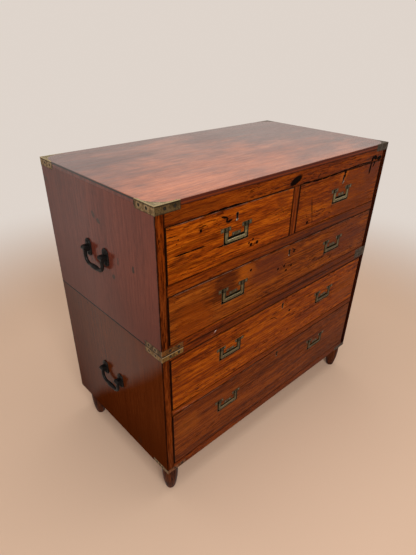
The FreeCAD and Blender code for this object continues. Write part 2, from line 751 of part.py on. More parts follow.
def strap_blank(name, height, web):
    body = new_body(name)
    front_leg = rectangle("0", "0", "strap_length", height)
    raise_pad(body, outline(new_sketch(body, "XZ"), front_leg), "strap_sheet", back=True)
    end_round = f"max(strap_end; {height} / 2{HALF_TURN})"
    side_leg = [("0", "0"), ("strap_length", "0", -1, end_round), ("strap_length", height), ("0", height)]
    raise_pad(body, outline(new_sketch(body, "YZ"), side_leg), "strap_sheet")
    if web:
        hollow = [
            ("0", "0"),
            ("web_reach", "0"),
            ("web_reach", "web_edge", 1, bow("(web_reach - web_edge) / sqrt(2)", "web_hollow")),
            ("web_edge", "web_reach"),
            ("0", "web_reach"),
        ]
        raise_pad(body, outline(new_sketch(body, "XY", height), hollow), "strap_sheet", back=True)
    return body


def strap_screws(name, source, height):
    places = []
    for k, reach in enumerate(("near_screw", "far_screw")):
        level = f"{height} / 2"
        places.append(copy_of(f"{name}_front_{k}", source, (reach, "0", level), TO_FRONT))
        places.append(copy_of(f"{name}_side_{k}", source, ("0", reach, level), TO_LEFT))
    return group(name, places)


def strap(name, height, web=False):
    """The strap, its screws and the one solid that both are let into."""
    plate = let_in(name, strap_blank(name + "_blank", height, web),
                   [strap_screws(name + "_holes", SCREW_HOLE, height)])
    seat = doc.addObject("Part::MultiFuse", name + "_seat")
    seat.Shapes = [strap_blank(name + "_seat_blank", height, web),
                   strap_screws(name + "_seat_holes", SCREW_HOLE, height)]
    return plate, strap_screws(name + "_screws", SCREW, height), seat


def strap_sets(label, rows):
    """Straps for one section: rows of (strap, level, also at the back). Gives the brass and its seats."""
    brass, seats = [], []
    for k, (pieces, level, at_back) in enumerate(rows):
        for j, piece in enumerate(pieces):
            spot = (LEFT, FRONT, level)
            placed = [copy_of(f"{label}_{k}_{j}", piece, spot)]
            if at_back:
                placed.append(mirrored(f"{label}_{k}_{j}_rear", placed[0], ALONG))
            placed += [mirrored(one.Name + "_right", one, ACROSS) for one in list(placed)]
            (seats if j == 2 else brass).extend(placed)
    return group(label, brass), group(label + "_seats", seats)


TOP_STRAP = strap("top_strap", "top_strap", web=True)
SEAM_STRAP = strap("seam_strap", "seam_strap")
LID_STRAP = strap("lid_strap", "lid_strap")
FOOT_STRAP = strap("foot_strap", "foot_strap")
UPPER_STRAPS, UPPER_STRAP_SEATS = strap_sets(
    "upper_straps", [(TOP_STRAP, f"({CHEST_TOP} - top_strap)", True), (SEAM_STRAP, SEAM, False)]
)
LOWER_STRAPS, LOWER_STRAP_SEATS = strap_sets(
    "lower_straps", [(LID_STRAP, f"({SEAM} - lid_strap)", False), (FOOT_STRAP, CASE_BASE, False)]
)
keep("upper_straps", UPPER_STRAPS)
keep("lower_straps", LOWER_STRAPS)


# ---------------------------------------------------------------- carrying handles
# A handle is drawn for the left side: the side board's face is the plane x = 0, the pivots lie over the Y
# axis and the handle hangs down at -x.

def rose():
    """One rose: an upright oval plate with two lugs that hold the handle's pin."""
    body = new_body("rose")
    half, straight = "rose_width / 2", "(rose_height - rose_width) / 2"
    oval = [
        (f"-{half}", f"-{straight}", -1, half + HALF_TURN),
        (half, f"-{straight}"),
        (half, straight, -1, half + HALF_TURN),
        (f"-{half}", straight),
    ]
    plate = raise_pad(body, outline(new_sketch(body, "YZ"), oval), "rose_sheet", back=True)
    face = -number("rose_sheet")
    round_edges(body, plate, "rose_edge", lambda p: abs(p.x - face) < 0.001)
    nose = [
        ("0", "-lug_round"),
        ("0", "lug_round"),
        ("-pivot_reach", "lug_round", -1, "lug_round" + HALF_TURN),
        ("-pivot_reach", "-lug_round"),
    ]
    for start in ("lug_gap / 2", "-lug_gap / 2 - lug_sheet"):
        raise_pad(body, outline(new_sketch(body, "XZ", start), nose), "lug_sheet")
    hole = ring(new_sketch(body, "XZ", "lug_gap"), "-pivot_reach", "0", "handle_pin + pin_gap")
    sink_pocket(body, hole, "2 * lug_gap")
    return body


def handle_pin():
    body = new_body("handle_pin")
    start = "(lug_gap / 2 + lug_sheet)"
    raise_pad(body, ring(new_sketch(body, "XZ", start), "-pivot_reach", "0", "handle_pin"),
              f"2 * {start}", back=True)
    return body


def handle_bail():
    """The carrying handle: a round bar bent to a U, thick in the middle, with an eye at each end."""
    body = new_body("handle_bail")
    half = "handle_spread / 2"
    path = [
        (f"-{half}", "0"),
        (f"-{half}", "handle_bend - handle_drop", -1, "handle_bend"),
        (f"handle_bend - {half}", "-handle_drop"),
        (f"{half} - handle_bend", "-handle_drop", -1, "handle_bend"),
        (half, "handle_bend - handle_drop"),
        (half, "0"),
    ]
    section = ring(new_sketch(body, "XY"), "-pivot_reach", f"-{half}", "handle_bar")
    spine = outline(new_sketch(body, "YZ", "-pivot_reach"), path, closed=False)
    pipe = body.newObject("PartDesign::AdditivePipe", "handle_bail_pipe")
    pipe.Profile = section
    pipe.Spine = (spine, [f"Edge{k}" for k in range(1, len(path))])
    for start in ("(handle_spread - eye_width) / 2", "-(handle_spread + eye_width) / 2"):
        eye = ring(new_sketch(body, "XZ", start), "-pivot_reach", "0", "eye_round")
        raise_pad(body, eye, "eye_width")
    grip = new_sketch(body, "YZ", "-pivot_reach")
    barrel = bow("grip_length / 2", "handle_grip - grip_root")
    outline(grip, [
        ("-grip_length / 2", "-handle_drop"),
        ("-grip_length / 2", "-handle_drop - grip_root", -1, barrel),
        ("grip_length / 2", "-handle_drop - grip_root"),
        ("grip_length / 2", "-handle_drop"),
    ])
    turn_up(body, grip, "Edge4")
    bore = ring(new_sketch(body, "XZ", "handle_spread"), "-pivot_reach", "0", "handle_pin + pin_gap")
    sink_pocket(body, bore, "2 * handle_spread")
    return body


def rose_set(name, sources):
    """The two roses of one handle with pins and screws, or what a side board is drilled for."""
    pieces = []
    for k, y in enumerate(("-handle_spread / 2", "handle_spread / 2")):
        for source in sources:
            pieces.append(copy_of(f"{name}_{k}_{source.Name}", source, ("0", y, "0")))
    return group(name, pieces)


def rose_screws(name, source):
    spots = [f"{s} * rose_screw_spread / 2" for s in ("-1", "1")]
    return group(name, [
        copy_of(f"{name}_{k}", source, ("-rose_sheet", "0", z), TO_LEFT) for k, z in enumerate(spots)
    ])


ROSE_HOLES = rose_screws("rose_holes", ROSE_SCREW_HOLE)
ROSE = let_in("rose_plate", rose(), [ROSE_HOLES])
ROSE_SET = rose_set("rose_set", [ROSE, handle_pin(), rose_screws("rose_screws", ROSE_SCREW)])
ROSE_SEATS = rose_set("rose_seats", [ROSE_HOLES])
HANDLE_BAIL = handle_bail()

HANDLE_LEVELS = {
    "upper": total(SEAM, "upper_handle_rise"),
    "lower": total(CASE_BASE, "lower_handle_rise"),
}
HANDLE_SEATS = {}
for section, level in HANDLE_LEVELS.items():
    spot = (LEFT, "0", level)
    left_set = copy_of(section + "_roses_left", ROSE_SET, spot)
    keep(section + "_roses", group(
        section + "_roses", [left_set, mirrored(section + "_roses_right", left_set, ACROSS)]
    ))
    left_bail = copy_of(section + "_handle_left", HANDLE_BAIL, spot)
    keep(section + "_handle_left", left_bail)
    keep(section + "_handle_right", mirrored(section + "_handle_right", left_bail, ACROSS))
    HANDLE_SEATS[section] = copy_of(section + "_rose_seats", ROSE_SEATS, spot)


# ---------------------------------------------------------------- feet and pegs

def foot():
    """A turned foot: collar, neck, swelling and toe, with a spigot on top."""
    body = new_body("foot")
    neck_level = "(foot_height - collar_height - collar_slope)"
    profile = [
        ("0", "0"),
        ("foot_sole", "0"),
        ("foot_toe", "toe_height", -1, "foot_bulge"),
        ("foot_neck", neck_level),
        ("foot_collar", "foot_height - collar_height"),
        ("foot_collar", "foot_height"),
        ("spigot", "foot_height"),
        ("spigot", "foot_height + spigot_length"),
        ("0", "foot_height + spigot_length"),
    ]
    turn_up(body, outline(new_sketch(body, "XZ"), profile))
    return body


def peg():
    """A locating peg with a coned top, standing in the seam's plane."""
    body = new_body("peg")
    profile = [
        ("0", "-peg_root"),
        ("peg", "-peg_root"),
        ("peg", "peg_rise - peg_cone"),
        ("peg - peg_cone", "peg_rise"),
        ("0", "peg_rise"),
    ]
    turn_up(body, outline(new_sketch(body, "XZ"), profile))
    return body


def cylinder(name, radius, height, low):
    """A plain round tool about the Z axis."""
    tool = doc.addObject("Part::Cylinder", name)
    bind(tool, "Radius", radius)
    bind(tool, "Height", height)
    bind(tool, "Placement.Base.z", low)
    return tool


def at_corners(name, source, x, rows, level):
    """Four copies of a piece: x is measured from the chest's middle, and rows are the two places in y."""
    spots = [(side, y) for side in ("-1", "1") for y in rows]
    return group(name, [
        copy_of(f"{name}_{k}", source, (f"{side} * {x}", y, level)) for k, (side, y) in enumerate(spots)
    ])


FOOT_X, PEG_X = "(case_width / 2 - foot_inset)", "(case_width / 2 - peg_inset)"
FOOT_ROWS = ("(foot_inset - case_depth / 2)", "(case_depth / 2 - rear_foot_inset)")
PEG_ROWS = ("(peg_setback - case_depth / 2)", "(case_depth / 2 - peg_setback)")
keep("feet", at_corners("feet", foot(), FOOT_X, FOOT_ROWS, "0"))
keep("locating_pegs", at_corners("locating_pegs", peg(), PEG_X, PEG_ROWS, SEAM))
SPIGOT_HOLES = at_corners(
    "spigot_holes",
    cylinder("spigot_hole", "spigot + screw_gap", "spigot_length + screw_gap", "0"),
    FOOT_X, FOOT_ROWS, CASE_BASE,
)
PEG_ROOTS = at_corners(
    "peg_roots", cylinder("peg_hole", "peg + screw_gap", "peg_root", "-peg_root"), PEG_X, PEG_ROWS, SEAM
)
PEG_SOCKETS = at_corners(
    "peg_sockets", cylinder("peg_socket", "peg + peg_gap", "peg_rise + peg_gap", "0"), PEG_X, PEG_ROWS, SEAM
)


# ---------------------------------------------------------------- the two cases

def shelf(name, level, thickness, front="0", stop="housing_stop"):
    """A board between the sides that is housed in both. front is its setback from the chest's front, and
    stop how far behind its own front edge the housings begin."""
    body = new_body(name, (INNER_LEFT, f"({FRONT} + {front})", level))
    deep = f"({INNER_DEPTH} - {front})"
    wide = total(INNER_WIDTH, "housing")
    shape = rectangle("-housing", "0", wide, deep)
    if stop:
        shape = [
            ("0", "0"), (INNER_WIDTH, "0"), (INNER_WIDTH, stop), (wide, stop),
            (wide, deep), ("-housing", deep), ("-housing", stop), ("0", stop),
        ]
    raise_pad(body, outline(new_sketch(body, "XY"), shape), thickness)
    return body


def side_pair(section, low, high, pieces, seats):
    """The two side boards, cut for what is housed in them and let into them."""
    height = f"({high} - {low})"
    left = board(section + "_left_board", (LEFT, FRONT, low), ("side_board", "case_depth", height))
    keep(section + "_side_left", let_in(section + "_side_left", left, pieces + seats))
    keep(section + "_side_right", mirrored(section + "_side_right", parts[section + "_side_left"], ACROSS))


def back(section, low, high):
    return board(
        section + "_back_board",
        (f"({INNER_LEFT} - back_rebate)", BACK, low),
        (total(INNER_WIDTH, "2 * back_rebate"), "back_board", f"({high} - {low})"),
    )


def stops(name, level, centres, width):
    """Two small blocks behind the front of each drawer, glued on the board that the drawer runs on."""
    blocks = []
    for k, centre in enumerate(centres):
        reach = f"({width} / 2 - stop_inset)"
        for j, x in enumerate((f"({centre} - {reach})", f"({centre} + {reach} - stop_length)")):
            blocks.append(board(
                f"{name}_stop_{k}_{j}",
                (x, f"({FRONT} + front_board + stop_gap)", level),
                ("stop_length", "stop_width", "stop_height"),
            ))
    return blocks


def mortises(name, head, centres):
    """Room for the raised bolts of the drawers under a rail."""
    middle = f"({FRONT} + front_board - lock_depth / 2)"
    half_wide, half_deep = "(bolt_width / 2 + mortise_gap)", "(bolt_sheet / 2 + mortise_gap)"
    return [
        board(
            f"{name}_mortise_{k}",
            (f"({centre} - {half_wide})", f"({middle} - {half_deep})", head),
            (f"2 * {half_wide}", f"2 * {half_deep}", "bolt_throw + mortise_gap"),
        )
        for k, centre in enumerate(centres)
    ]


def rail(name, level, height, depth="rail_depth"):
    return board(name + "_board", (INNER_LEFT, FRONT, level), (INNER_WIDTH, depth, height))


def kickers(name, low, high, front, bands):
    """Strips over the drawer sides: bands of (left, width)."""
    return [
        board(f"{name}_{k}", (left, f"({FRONT} + {front})", low),
              (width, f"{INNER_DEPTH} - {front}", f"({high} - {low})"))
        for k, (left, width) in enumerate(bands)
    ]


def upper_case():
    floor = shelf("upper_floor_board", SEAM, "upper_floor")
    dust = shelf("upper_dust_board", f"({SHORT_RUN} - dust_board)", "dust_board", "rail_depth", "")
    rear = back("upper", SEAM, TOP_UNDERSIDE)
    straps = UPPER_STRAP_SEATS
    side_pair("upper", SEAM, TOP_UNDERSIDE, [floor, dust, rear], [straps, HANDLE_SEATS["upper"]])
    keep("upper_back", let_in("upper_back", rear, [straps]))
    short_centres = ["-" + SHORT_CENTRE, SHORT_CENTRE]
    top = board("upper_top_board", (LEFT, FRONT, TOP_UNDERSIDE), ("case_width", "case_depth", "top_board"))
    keep("upper_top", let_in("upper_top", top, [straps]))
    top_rail = rail("upper_top_rail", SHORT_HEAD, "top_rail", "top_rail_depth")
    top_cuts = [straps] + mortises("upper_top_rail", SHORT_HEAD, short_centres)
    keep("upper_top_rail", let_in("upper_top_rail", top_rail, top_cuts))
    drawer_rail = let_in("upper_rail_cut", rail("upper_drawer_rail", LONG_HEAD, "upper_rail"),
                         mortises("upper_drawer_rail", LONG_HEAD, ["0"]))
    keep("upper_drawer_rail", group("upper_drawer_rail", [drawer_rail] + stops(
        "upper_drawer_rail", SHORT_RUN, short_centres, SHORT_WIDTH)))
    floor_cut = let_in("upper_floor_cut", floor, [straps, PEG_SOCKETS])
    keep("upper_floor", group("upper_floor", [floor_cut] + stops(
        "upper_floor", LONG_RUN, ["0"], INNER_WIDTH)))
    keep("upper_divider", board(
        "upper_divider",
        ("-divider / 2", FRONT, SHORT_RUN),
        ("divider", INNER_DEPTH, "short_opening"),
    ))
    left_edge, right_edge = INNER_LEFT, f"(-1 * {INNER_LEFT} - kicker_width)"
    over_short = kickers("short_kicker", SHORT_HEAD, TOP_UNDERSIDE, "top_rail_depth", [
        (left_edge, "kicker_width"),
        ("(-divider / 2 - kicker_width)", "divider + 2 * kicker_width"),
        (right_edge, "kicker_width"),
    ])
    over_long = kickers("long_kicker", LONG_HEAD, f"({SHORT_RUN} - dust_board)", "rail_depth", [
        (left_edge, "kicker_width"), (right_edge, "kicker_width"),
    ])
    keep("upper_dustboard", dust)
    keep("upper_kickers", group("upper_kickers", over_short + over_long))


def lower_case():
    floor = shelf("lower_floor_board", CASE_BASE, "lower_floor")
    lid = shelf("lower_lid_board", MIDDLE_HEAD, "lower_lid")
    dust = shelf("lower_dust_board", f"({MIDDLE_RUN} - dust_board)", "dust_board", "rail_depth", "")
    rear = back("lower", CASE_BASE, SEAM)
    straps = LOWER_STRAP_SEATS
    side_pair("lower", CASE_BASE, SEAM, [floor, lid, dust, rear], [straps, HANDLE_SEATS["lower"]])
    keep("lower_back", rear)
    lid_cuts = [straps, PEG_ROOTS] + mortises("lower_lid", MIDDLE_HEAD, ["0"])
    keep("lower_lid", let_in("lower_lid", lid, lid_cuts))
    drawer_rail = let_in("lower_rail_cut", rail("lower_drawer_rail", BOTTOM_HEAD, "lower_rail"),
                         mortises("lower_drawer_rail", BOTTOM_HEAD, ["0"]))
    keep("lower_drawer_rail", group("lower_drawer_rail", [drawer_rail] + stops(
        "lower_drawer_rail", MIDDLE_RUN, ["0"], INNER_WIDTH)))
    floor_cut = let_in("lower_floor_cut", floor, [straps, SPIGOT_HOLES])
    keep("lower_floor", group("lower_floor", [floor_cut] + stops(
        "lower_floor", BOTTOM_RUN, ["0"], INNER_WIDTH)))
    strips = kickers("bottom_kicker", BOTTOM_HEAD, f"({MIDDLE_RUN} - dust_board)", "rail_depth", [
        (INNER_LEFT, "kicker_width"), (f"(-1 * {INNER_LEFT} - kicker_width)", "kicker_width"),
    ])
    keep("lower_dustboard", group("lower_dustboard", [dust] + strips))


upper_case()
lower_case()


# ---------------------------------------------------------------- checks and files

def check():
    """Stops if anything in the document failed, or a sub-part has no sound shape."""
    for thing in doc.Objects:
        bad = {"Invalid", "Error"} & set(thing.State)
        assert not bad, f"{thing.Name}: {thing.State}"
    for name, thing in parts.items():
        assert not thing.Shape.isNull(), f"{name} has no shape"
        assert thing.Shape.isValid(), f"{name} has a bad shape"
        assert thing.Shape.Solids, f"{name} has no solid"


doc.recompute()
check()
os.makedirs("parts", exist_ok=True)
for name, thing in parts.items():
    thing.Shape.exportStep(f"parts/{name}.step")
    box = thing.Shape.BoundBox
    print(f"{name}: {len(thing.Shape.Solids)} solids, {thing.Shape.Volume / 1000:.1f} cm3, "
          f"x {box.XMin:.1f} {box.XMax:.1f} y {box.YMin:.1f} {box.YMax:.1f} z {box.ZMin:.1f} {box.ZMax:.1f}")
print(len(parts), "sub-parts")
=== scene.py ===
# %% [markdown]
# # Dressing a campaign chest
#
# A campaign chest is a travelling chest of drawers. It comes apart at the waist into two boxes that two
# people can carry, its corners are bound in brass, and its pulls lie flush so that nothing catches. The
# measured model is loaded here as a fixed frame: every board, screw and handle is already in its place, in
# metres. This lesson gives each piece the finish that two centuries leave on it.

import functools
import json
import math

import bpy
import numpy as np
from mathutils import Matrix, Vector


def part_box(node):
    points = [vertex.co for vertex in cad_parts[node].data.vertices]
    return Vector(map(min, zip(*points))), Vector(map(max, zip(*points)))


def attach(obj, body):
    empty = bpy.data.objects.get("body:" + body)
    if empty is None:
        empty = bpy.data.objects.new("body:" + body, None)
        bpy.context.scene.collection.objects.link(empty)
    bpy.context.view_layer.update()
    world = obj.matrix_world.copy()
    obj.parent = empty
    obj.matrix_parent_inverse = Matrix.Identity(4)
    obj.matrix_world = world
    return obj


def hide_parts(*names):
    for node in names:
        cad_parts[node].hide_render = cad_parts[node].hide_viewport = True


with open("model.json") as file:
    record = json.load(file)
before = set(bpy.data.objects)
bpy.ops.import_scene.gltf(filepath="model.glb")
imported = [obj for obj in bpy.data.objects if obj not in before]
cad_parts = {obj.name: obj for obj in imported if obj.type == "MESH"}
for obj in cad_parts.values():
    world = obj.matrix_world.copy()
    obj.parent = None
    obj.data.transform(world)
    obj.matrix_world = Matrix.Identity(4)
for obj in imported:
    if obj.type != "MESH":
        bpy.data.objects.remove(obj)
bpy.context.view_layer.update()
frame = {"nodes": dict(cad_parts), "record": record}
NODES = frame["nodes"]
BODY_OF = {node: body for body, group in frame["record"]["behaviour"]["bodies"].items() for node in group}

# %% [markdown]
# ## The camera
#
# The chest is seen from the front left, a little from above, through a wide lens in an upright frame. The
# lens is shifted slightly, because its axis doesn't pass quite through the middle of the frame. A camera can
# also be aimed with a Track To constraint, but a turn written in degrees is easier to repeat. The function
# below goes the other way: it finds the place on a flat face that shows at a pixel, which is how marks are
# placed later.

# %% Place the camera
FRAME_SIZE = (416, 555)
CAMERA_SPOT = (-0.9116, -0.8889, 1.1802)
CAMERA_TURN = (58.482, -0.825, -42.669)
SENSOR = 36.0
FOCAL_PIXELS = 426.1
LENS_CENTRE = (207.81, 296.44)

camera_data = bpy.data.cameras.new("camera")
camera_data.sensor_width = SENSOR
camera_data.lens = FOCAL_PIXELS * SENSOR / max(FRAME_SIZE)
camera_data.shift_x = (FRAME_SIZE[0] / 2 - LENS_CENTRE[0]) / max(FRAME_SIZE)
camera_data.shift_y = (LENS_CENTRE[1] - FRAME_SIZE[1] / 2) / max(FRAME_SIZE)
camera = bpy.data.objects.new("camera", camera_data)
camera.location = CAMERA_SPOT
camera.rotation_euler = [math.radians(turn) for turn in CAMERA_TURN]
bpy.context.scene.collection.objects.link(camera)
bpy.context.scene.camera = camera


def seen(pixel, axis, level):
    """The place where the plane x, y or z = level shows at a pixel: the camera's spot plus a multiple of the
    pixel's direction."""
    across = (pixel[0] - LENS_CENTRE[0]) / FOCAL_PIXELS
    up = (LENS_CENTRE[1] - pixel[1]) / FOCAL_PIXELS
    way = np.array(camera.rotation_euler.to_matrix()) @ (across, up, -1.0)
    k = "xyz".index(axis)
    return tuple(CAMERA_SPOT + way * (level - CAMERA_SPOT[k]) / way[k])


FRONT_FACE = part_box("upper_side_left")[0].y
LEFT_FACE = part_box("upper_side_left")[0].x
TOP_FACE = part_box("upper_top")[1].z
NEAR_CORNER = (154, 206.5)
print("lens", round(camera_data.lens, 2), "mm")
print("the near top corner is at", np.round(seen(NEAR_CORNER, "z", TOP_FACE), 3))

# %% [markdown]
# ## Shader maths as Python
#
# A material in Blender is a graph of nodes. Building one by hand in Python means a line for each node and a
# line for each link, and the sum gets lost. A small class hides that: it holds one output socket, and the
# arithmetic signs add Math nodes behind it. Everything else goes through one method, `node`.

# %% A socket that can be added and multiplied
class Socket:
    """One output of a material's node."""

    def __init__(self, tree, output):
        self.tree = tree
        self.output = output

    def node(self, kind, settings=(), inputs=(), out=0):
        """Adds any node: its settings first, then values or links for its inputs. Gives one output."""
        made = self.tree.nodes.new("ShaderNode" + kind)
        for name, value in dict(settings).items():
            if name == "stops":
                fill_ramp(made.color_ramp, value)
            else:
                setattr(made, name, value)
        for name, value in dict(inputs).items():
            if isinstance(value, Socket):
                self.tree.links.new(value.output, made.inputs[name])
            else:
                made.inputs[name].default_value = value
        return Socket(self.tree, made.outputs[out]) if made.outputs else None

    def maths(self, operation, first, second=0.0):
        """Adds a Math node of two values."""
        return self.node("Math", {"operation": operation}, {0: first, 1: second})

    def __add__(self, other):
        return self.maths("ADD", self, other)

    def __sub__(self, other):
        return self.maths("SUBTRACT", self, other)

    def __rsub__(self, other):
        return self.maths("SUBTRACT", other, self)

    def __mul__(self, other):
        return self.maths("MULTIPLY", self, other)

    __radd__ = __add__
    __rmul__ = __mul__

    def least(self, other):
        """The lesser of two values."""
        return self.maths("MINIMUM", self, other)

    def most(self, other):
        """The greater of two values."""
        return self.maths("MAXIMUM", self, other)

    def size(self):
        """The value without its sign."""
        return self.maths("ABSOLUTE", self)

    def step(self, low, high):
        """0 below low, 1 above high and a smooth rise between. It falls if low is the greater."""
        return self.node("MapRange", {"interpolation_type": "SMOOTHSTEP"},
                         {"Value": self, "From Min": low, "From Max": high})


def fill_ramp(ramp, stops):
    """Sets a colour ramp to a list of (position, colour)."""
    while len(ramp.elements) < len(stops):
        ramp.elements.new(1.0)
    for element, (position, colour) in zip(ramp.elements, stops):
        element.position = position
        element.color = colour


print("sockets take + - * and", [name for name in vars(Socket) if not name.startswith("_")])

# %% [markdown]
# ## Noise
#
# Old wood and brass are never even. Soft noise does most of the work, stretched to so many blotches a
# metre, and it can also push a place about, which makes a straight outline wander. Patterns read Object
# coordinates. Every object here sits at the origin, so they are the chest's own metres, and a pattern stays
# on its board when a drawer slides.

# %% Noise that is stretched along the grain
def rgb(red, green, blue):
    """A colour as Blender's sockets take it."""
    return (red, green, blue, 1.0)


def noise(place, scales, seed=0.0, detail=3.0, rough=0.55, out=0):
    """Soft noise from 0 to 1. scales says how many blotches fit in a metre along x, y and z."""
    shift = (seed, 1.7 * seed, 2.3 * seed)
    moved = place.node("Mapping", (), {"Vector": place, "Location": shift, "Scale": scales})
    settings = {"Vector": moved, "Scale": 1.0, "Detail": detail, "Roughness": rough}
    return place.node("TexNoise", (), settings, out)


def even(scale):
    """The same number for x, y and z."""
    return (scale, scale, scale)


def along(grain, length, width):
    """Noise scales for a board whose grain runs along x, y or z: blotches a metre along it and across it."""
    return tuple(length if axis == grain else width for axis in "xyz")


def ragged(place, amount, scales, seed):
    """The place moved by soft noise, so that a shape that is read from it gets a wandering outline."""
    wander = noise(place, scales, seed, 3.0, out=1)
    centred = place.node("VectorMath", {"operation": "SUBTRACT"}, {0: wander, 1: even(0.5)})
    return place.node("VectorMath", {"operation": "MULTIPLY_ADD"}, {0: centred, 1: amount, 2: place})


print("streaks along x are stretched to", along("x", 4.0, 130.0), "blotches a metre")

# %% [markdown]
# A mark is a mask: 1 where it is and 0 elsewhere. Mixing two colours by a mask paints it. A painted image
# could hold the marks too, but a mask made of maths stays sharp at any distance.

# %% Mixing by a mask, and oval spots
OVAL_RIM = 0.6


def mix(mask, low, high, kind="MIX"):
    """The colour low where mask is 0 and high where it is 1."""
    return mask.node("Mix", {"data_type": "RGBA", "blend_type": kind}, {0: mask, 6: low, 7: high}, 2)


def split(vector):
    """The x, y and z of a vector as three sockets."""
    made = vector.node("SeparateXYZ", (), {"Vector": vector}).output.node
    return [Socket(vector.tree, output) for output in made.outputs]


def oval(place, spot, size, turn=0.0, rim=OVAL_RIM):
    """1 inside an oval at a spot and 0 outside. size holds its half lengths in metres, and turn is in
    degrees about the y axis. The mask falls from the share rim of its half lengths to the outline."""
    about_y = (0.0, math.radians(turn), 0.0)
    inputs = {"Vector": place, "Location": spot, "Rotation": about_y, "Scale": size}
    local = place.node("Mapping", {"vector_type": "TEXTURE"}, inputs)
    return local.node("VectorMath", {"operation": "LENGTH"}, {0: local}, 1).step(1.0, rim)


print("an oval fades over the outer", round(100 * (1.0 - OVAL_RIM)), "percent of its half lengths")

# %% [markdown]
# Every finish starts from an empty material and ends in the same shader, with its relief turned into a bump.
# The dark line round a board, dirt and painted shade where boards meet, needs one more thing: the distance
# to a board's nearest edge. It could come from an Ambient Occlusion node, but that is slow and can't be
# baked, and for a box-shaped board it is plain arithmetic.

# %% A material's start and end, and the distance to an edge
def start_material(name):
    """An empty material, and its Object coordinates."""
    material = bpy.data.materials.new(name)
    material.use_nodes = True
    tree = material.node_tree
    tree.nodes.clear()
    return material, Socket(tree, tree.nodes.new("ShaderNodeTexCoord").outputs["Object"])


def end_material(place, surface, depth, constants=()):
    """Joins a surface of (colour, roughness, relief) to a Principled shader. depth is the relief's height in
    metres."""
    colour, roughness, relief = surface
    bump = place.node("Bump", (), {"Height": relief, "Strength": 1.0, "Distance": depth})
    inputs = {"Base Color": colour, "Roughness": roughness, "Normal": bump}
    inputs.update(dict(constants))
    shader = place.node("BsdfPrincipled", (), inputs)
    shader.node("OutputMaterial", (), {"Surface": shader})


def edge_distance(place, low, high):
    """Distance in metres to the nearest edge of a box-shaped board. On a face of the board one of the three
    distances to its sides is zero, so the distance to the nearest edge is the middle one."""
    x, y, z = [(part - a).least(b - part) for part, a, b in zip(split(place), low, high)]
    return x.least(y).most(x.most(y).least(z))


# %% [markdown]
# ## Old polished hardwood
#
# Wood is a bundle of long fibres, so every mark in it is stretched along the grain. Layers make it: growth
# rings, broad bands, fine streaks, fibres, and short dark dashes that come in clusters. The rings are a Wave
# texture in its Rings mode whose axis is tilted a little against the board. That gives the arched lines of a
# plain-sawn plank, and because the pattern is solid, the end of a board shows its rings too. An image of
# wood would be quicker, but it would wrap badly round the edges.

# %% Bare timber
FIGURED = (0.10, 0.18, 0.36, 0.36)
CALM = (0.06, 0.14, 0.36, 0.44)
DASH_SHADE = 0.4


def timber(place, grain, tones, seed, rings=16.0, heart=(0.0, 0.0), tilt=2.0, dashes=0.85, shares=FIGURED):
    """The colour, roughness and relief of timber. tones are its dark, middle and light colours, heart is how
    far off the tree's middle is and tilt the slope of the plank in it. shares weigh the four patterns, and
    the weighted sum picks the tone."""
    bent = ragged(place, along(grain, 0.0, 0.03), along(grain, 1.6, 7.0), seed + 11.0)
    turn = [math.radians(tilt if axis != grain else 0.0) for axis in "xyz"]
    offset = list(heart)
    shift = tuple(0.0 if axis == grain else offset.pop(0) for axis in "xyz")
    trunk = place.node("Mapping", (), {"Vector": bent, "Rotation": turn, "Location": shift})
    ring = place.node("TexWave", {
        "wave_type": "RINGS", "rings_direction": grain.upper(), "wave_profile": "SAW",
    }, {"Vector": trunk, "Scale": rings, "Distortion": 5.0, "Detail": 3.0, "Detail Scale": 1.5}, 1)
    band = noise(bent, along(grain, 1.2, 30.0), seed, 3.0).step(0.34, 0.66)
    streak = noise(bent, along(grain, 4.0, 130.0), seed + 3.0, 3.0, 0.6).step(0.36, 0.64)
    fibre = noise(bent, along(grain, 30.0, 420.0), seed + 5.0, 2.0, 0.6).step(0.34, 0.66)
    cluster = noise(place, along(grain, 5.0, 16.0), seed + 7.0, 2.0).step(0.38, 0.58)
    dash = noise(bent, along(grain, 42.0, 300.0), seed + 9.0, 2.0, 0.5).step(0.57, 0.64)
    vein = (noise(bent, along(grain, 0.9, 24.0), seed + 13.0, 3.0) - 0.5).size().step(0.02, 0.0)

    tone = sum(pattern * share for pattern, share in zip((ring, band, streak, fibre), shares))
    dark, middle, light = tones
    colour = tone.node("ValToRGB", {"stops": [(0.15, dark), (0.5, middle), (0.85, light)]}, {"Fac": tone})
    mark = (dash * cluster).most(vein * 0.6) * dashes
    colour = mix(mark, colour, rgb(*(DASH_SHADE * part for part in dark[:3])))
    roughness = 0.34 + streak * 0.12 + mark * 0.2
    relief = fibre * 0.3 + streak * 0.2 - mark * 0.7
    return colour, roughness, relief


print("shares of rings, bands, streaks and fibres:", FIGURED, "or, where calmer,", CALM)

# %% [markdown]
# A ragged dark line along the edges of a board is dirt, and painted shade where boards meet. Its upper
# arris is painted pale, for wear and a highlight where the rounded edge catches light. Brushed on by hand
# in Texture Paint, both would look right and stay fixed to one size of chest. Here they follow the
# distance to an edge, with noise taken off so that the line wavers.

# %% Dirt round a board, and a rubbed arris
DIRT_AND_SHADE = rgb(0.012, 0.0035, 0.0014)
# pale wood for worn arrises and scratches, and a painted highlight where an edge catches light
WEAR_AND_HIGHLIGHT = rgb(0.36, 0.17, 0.11)


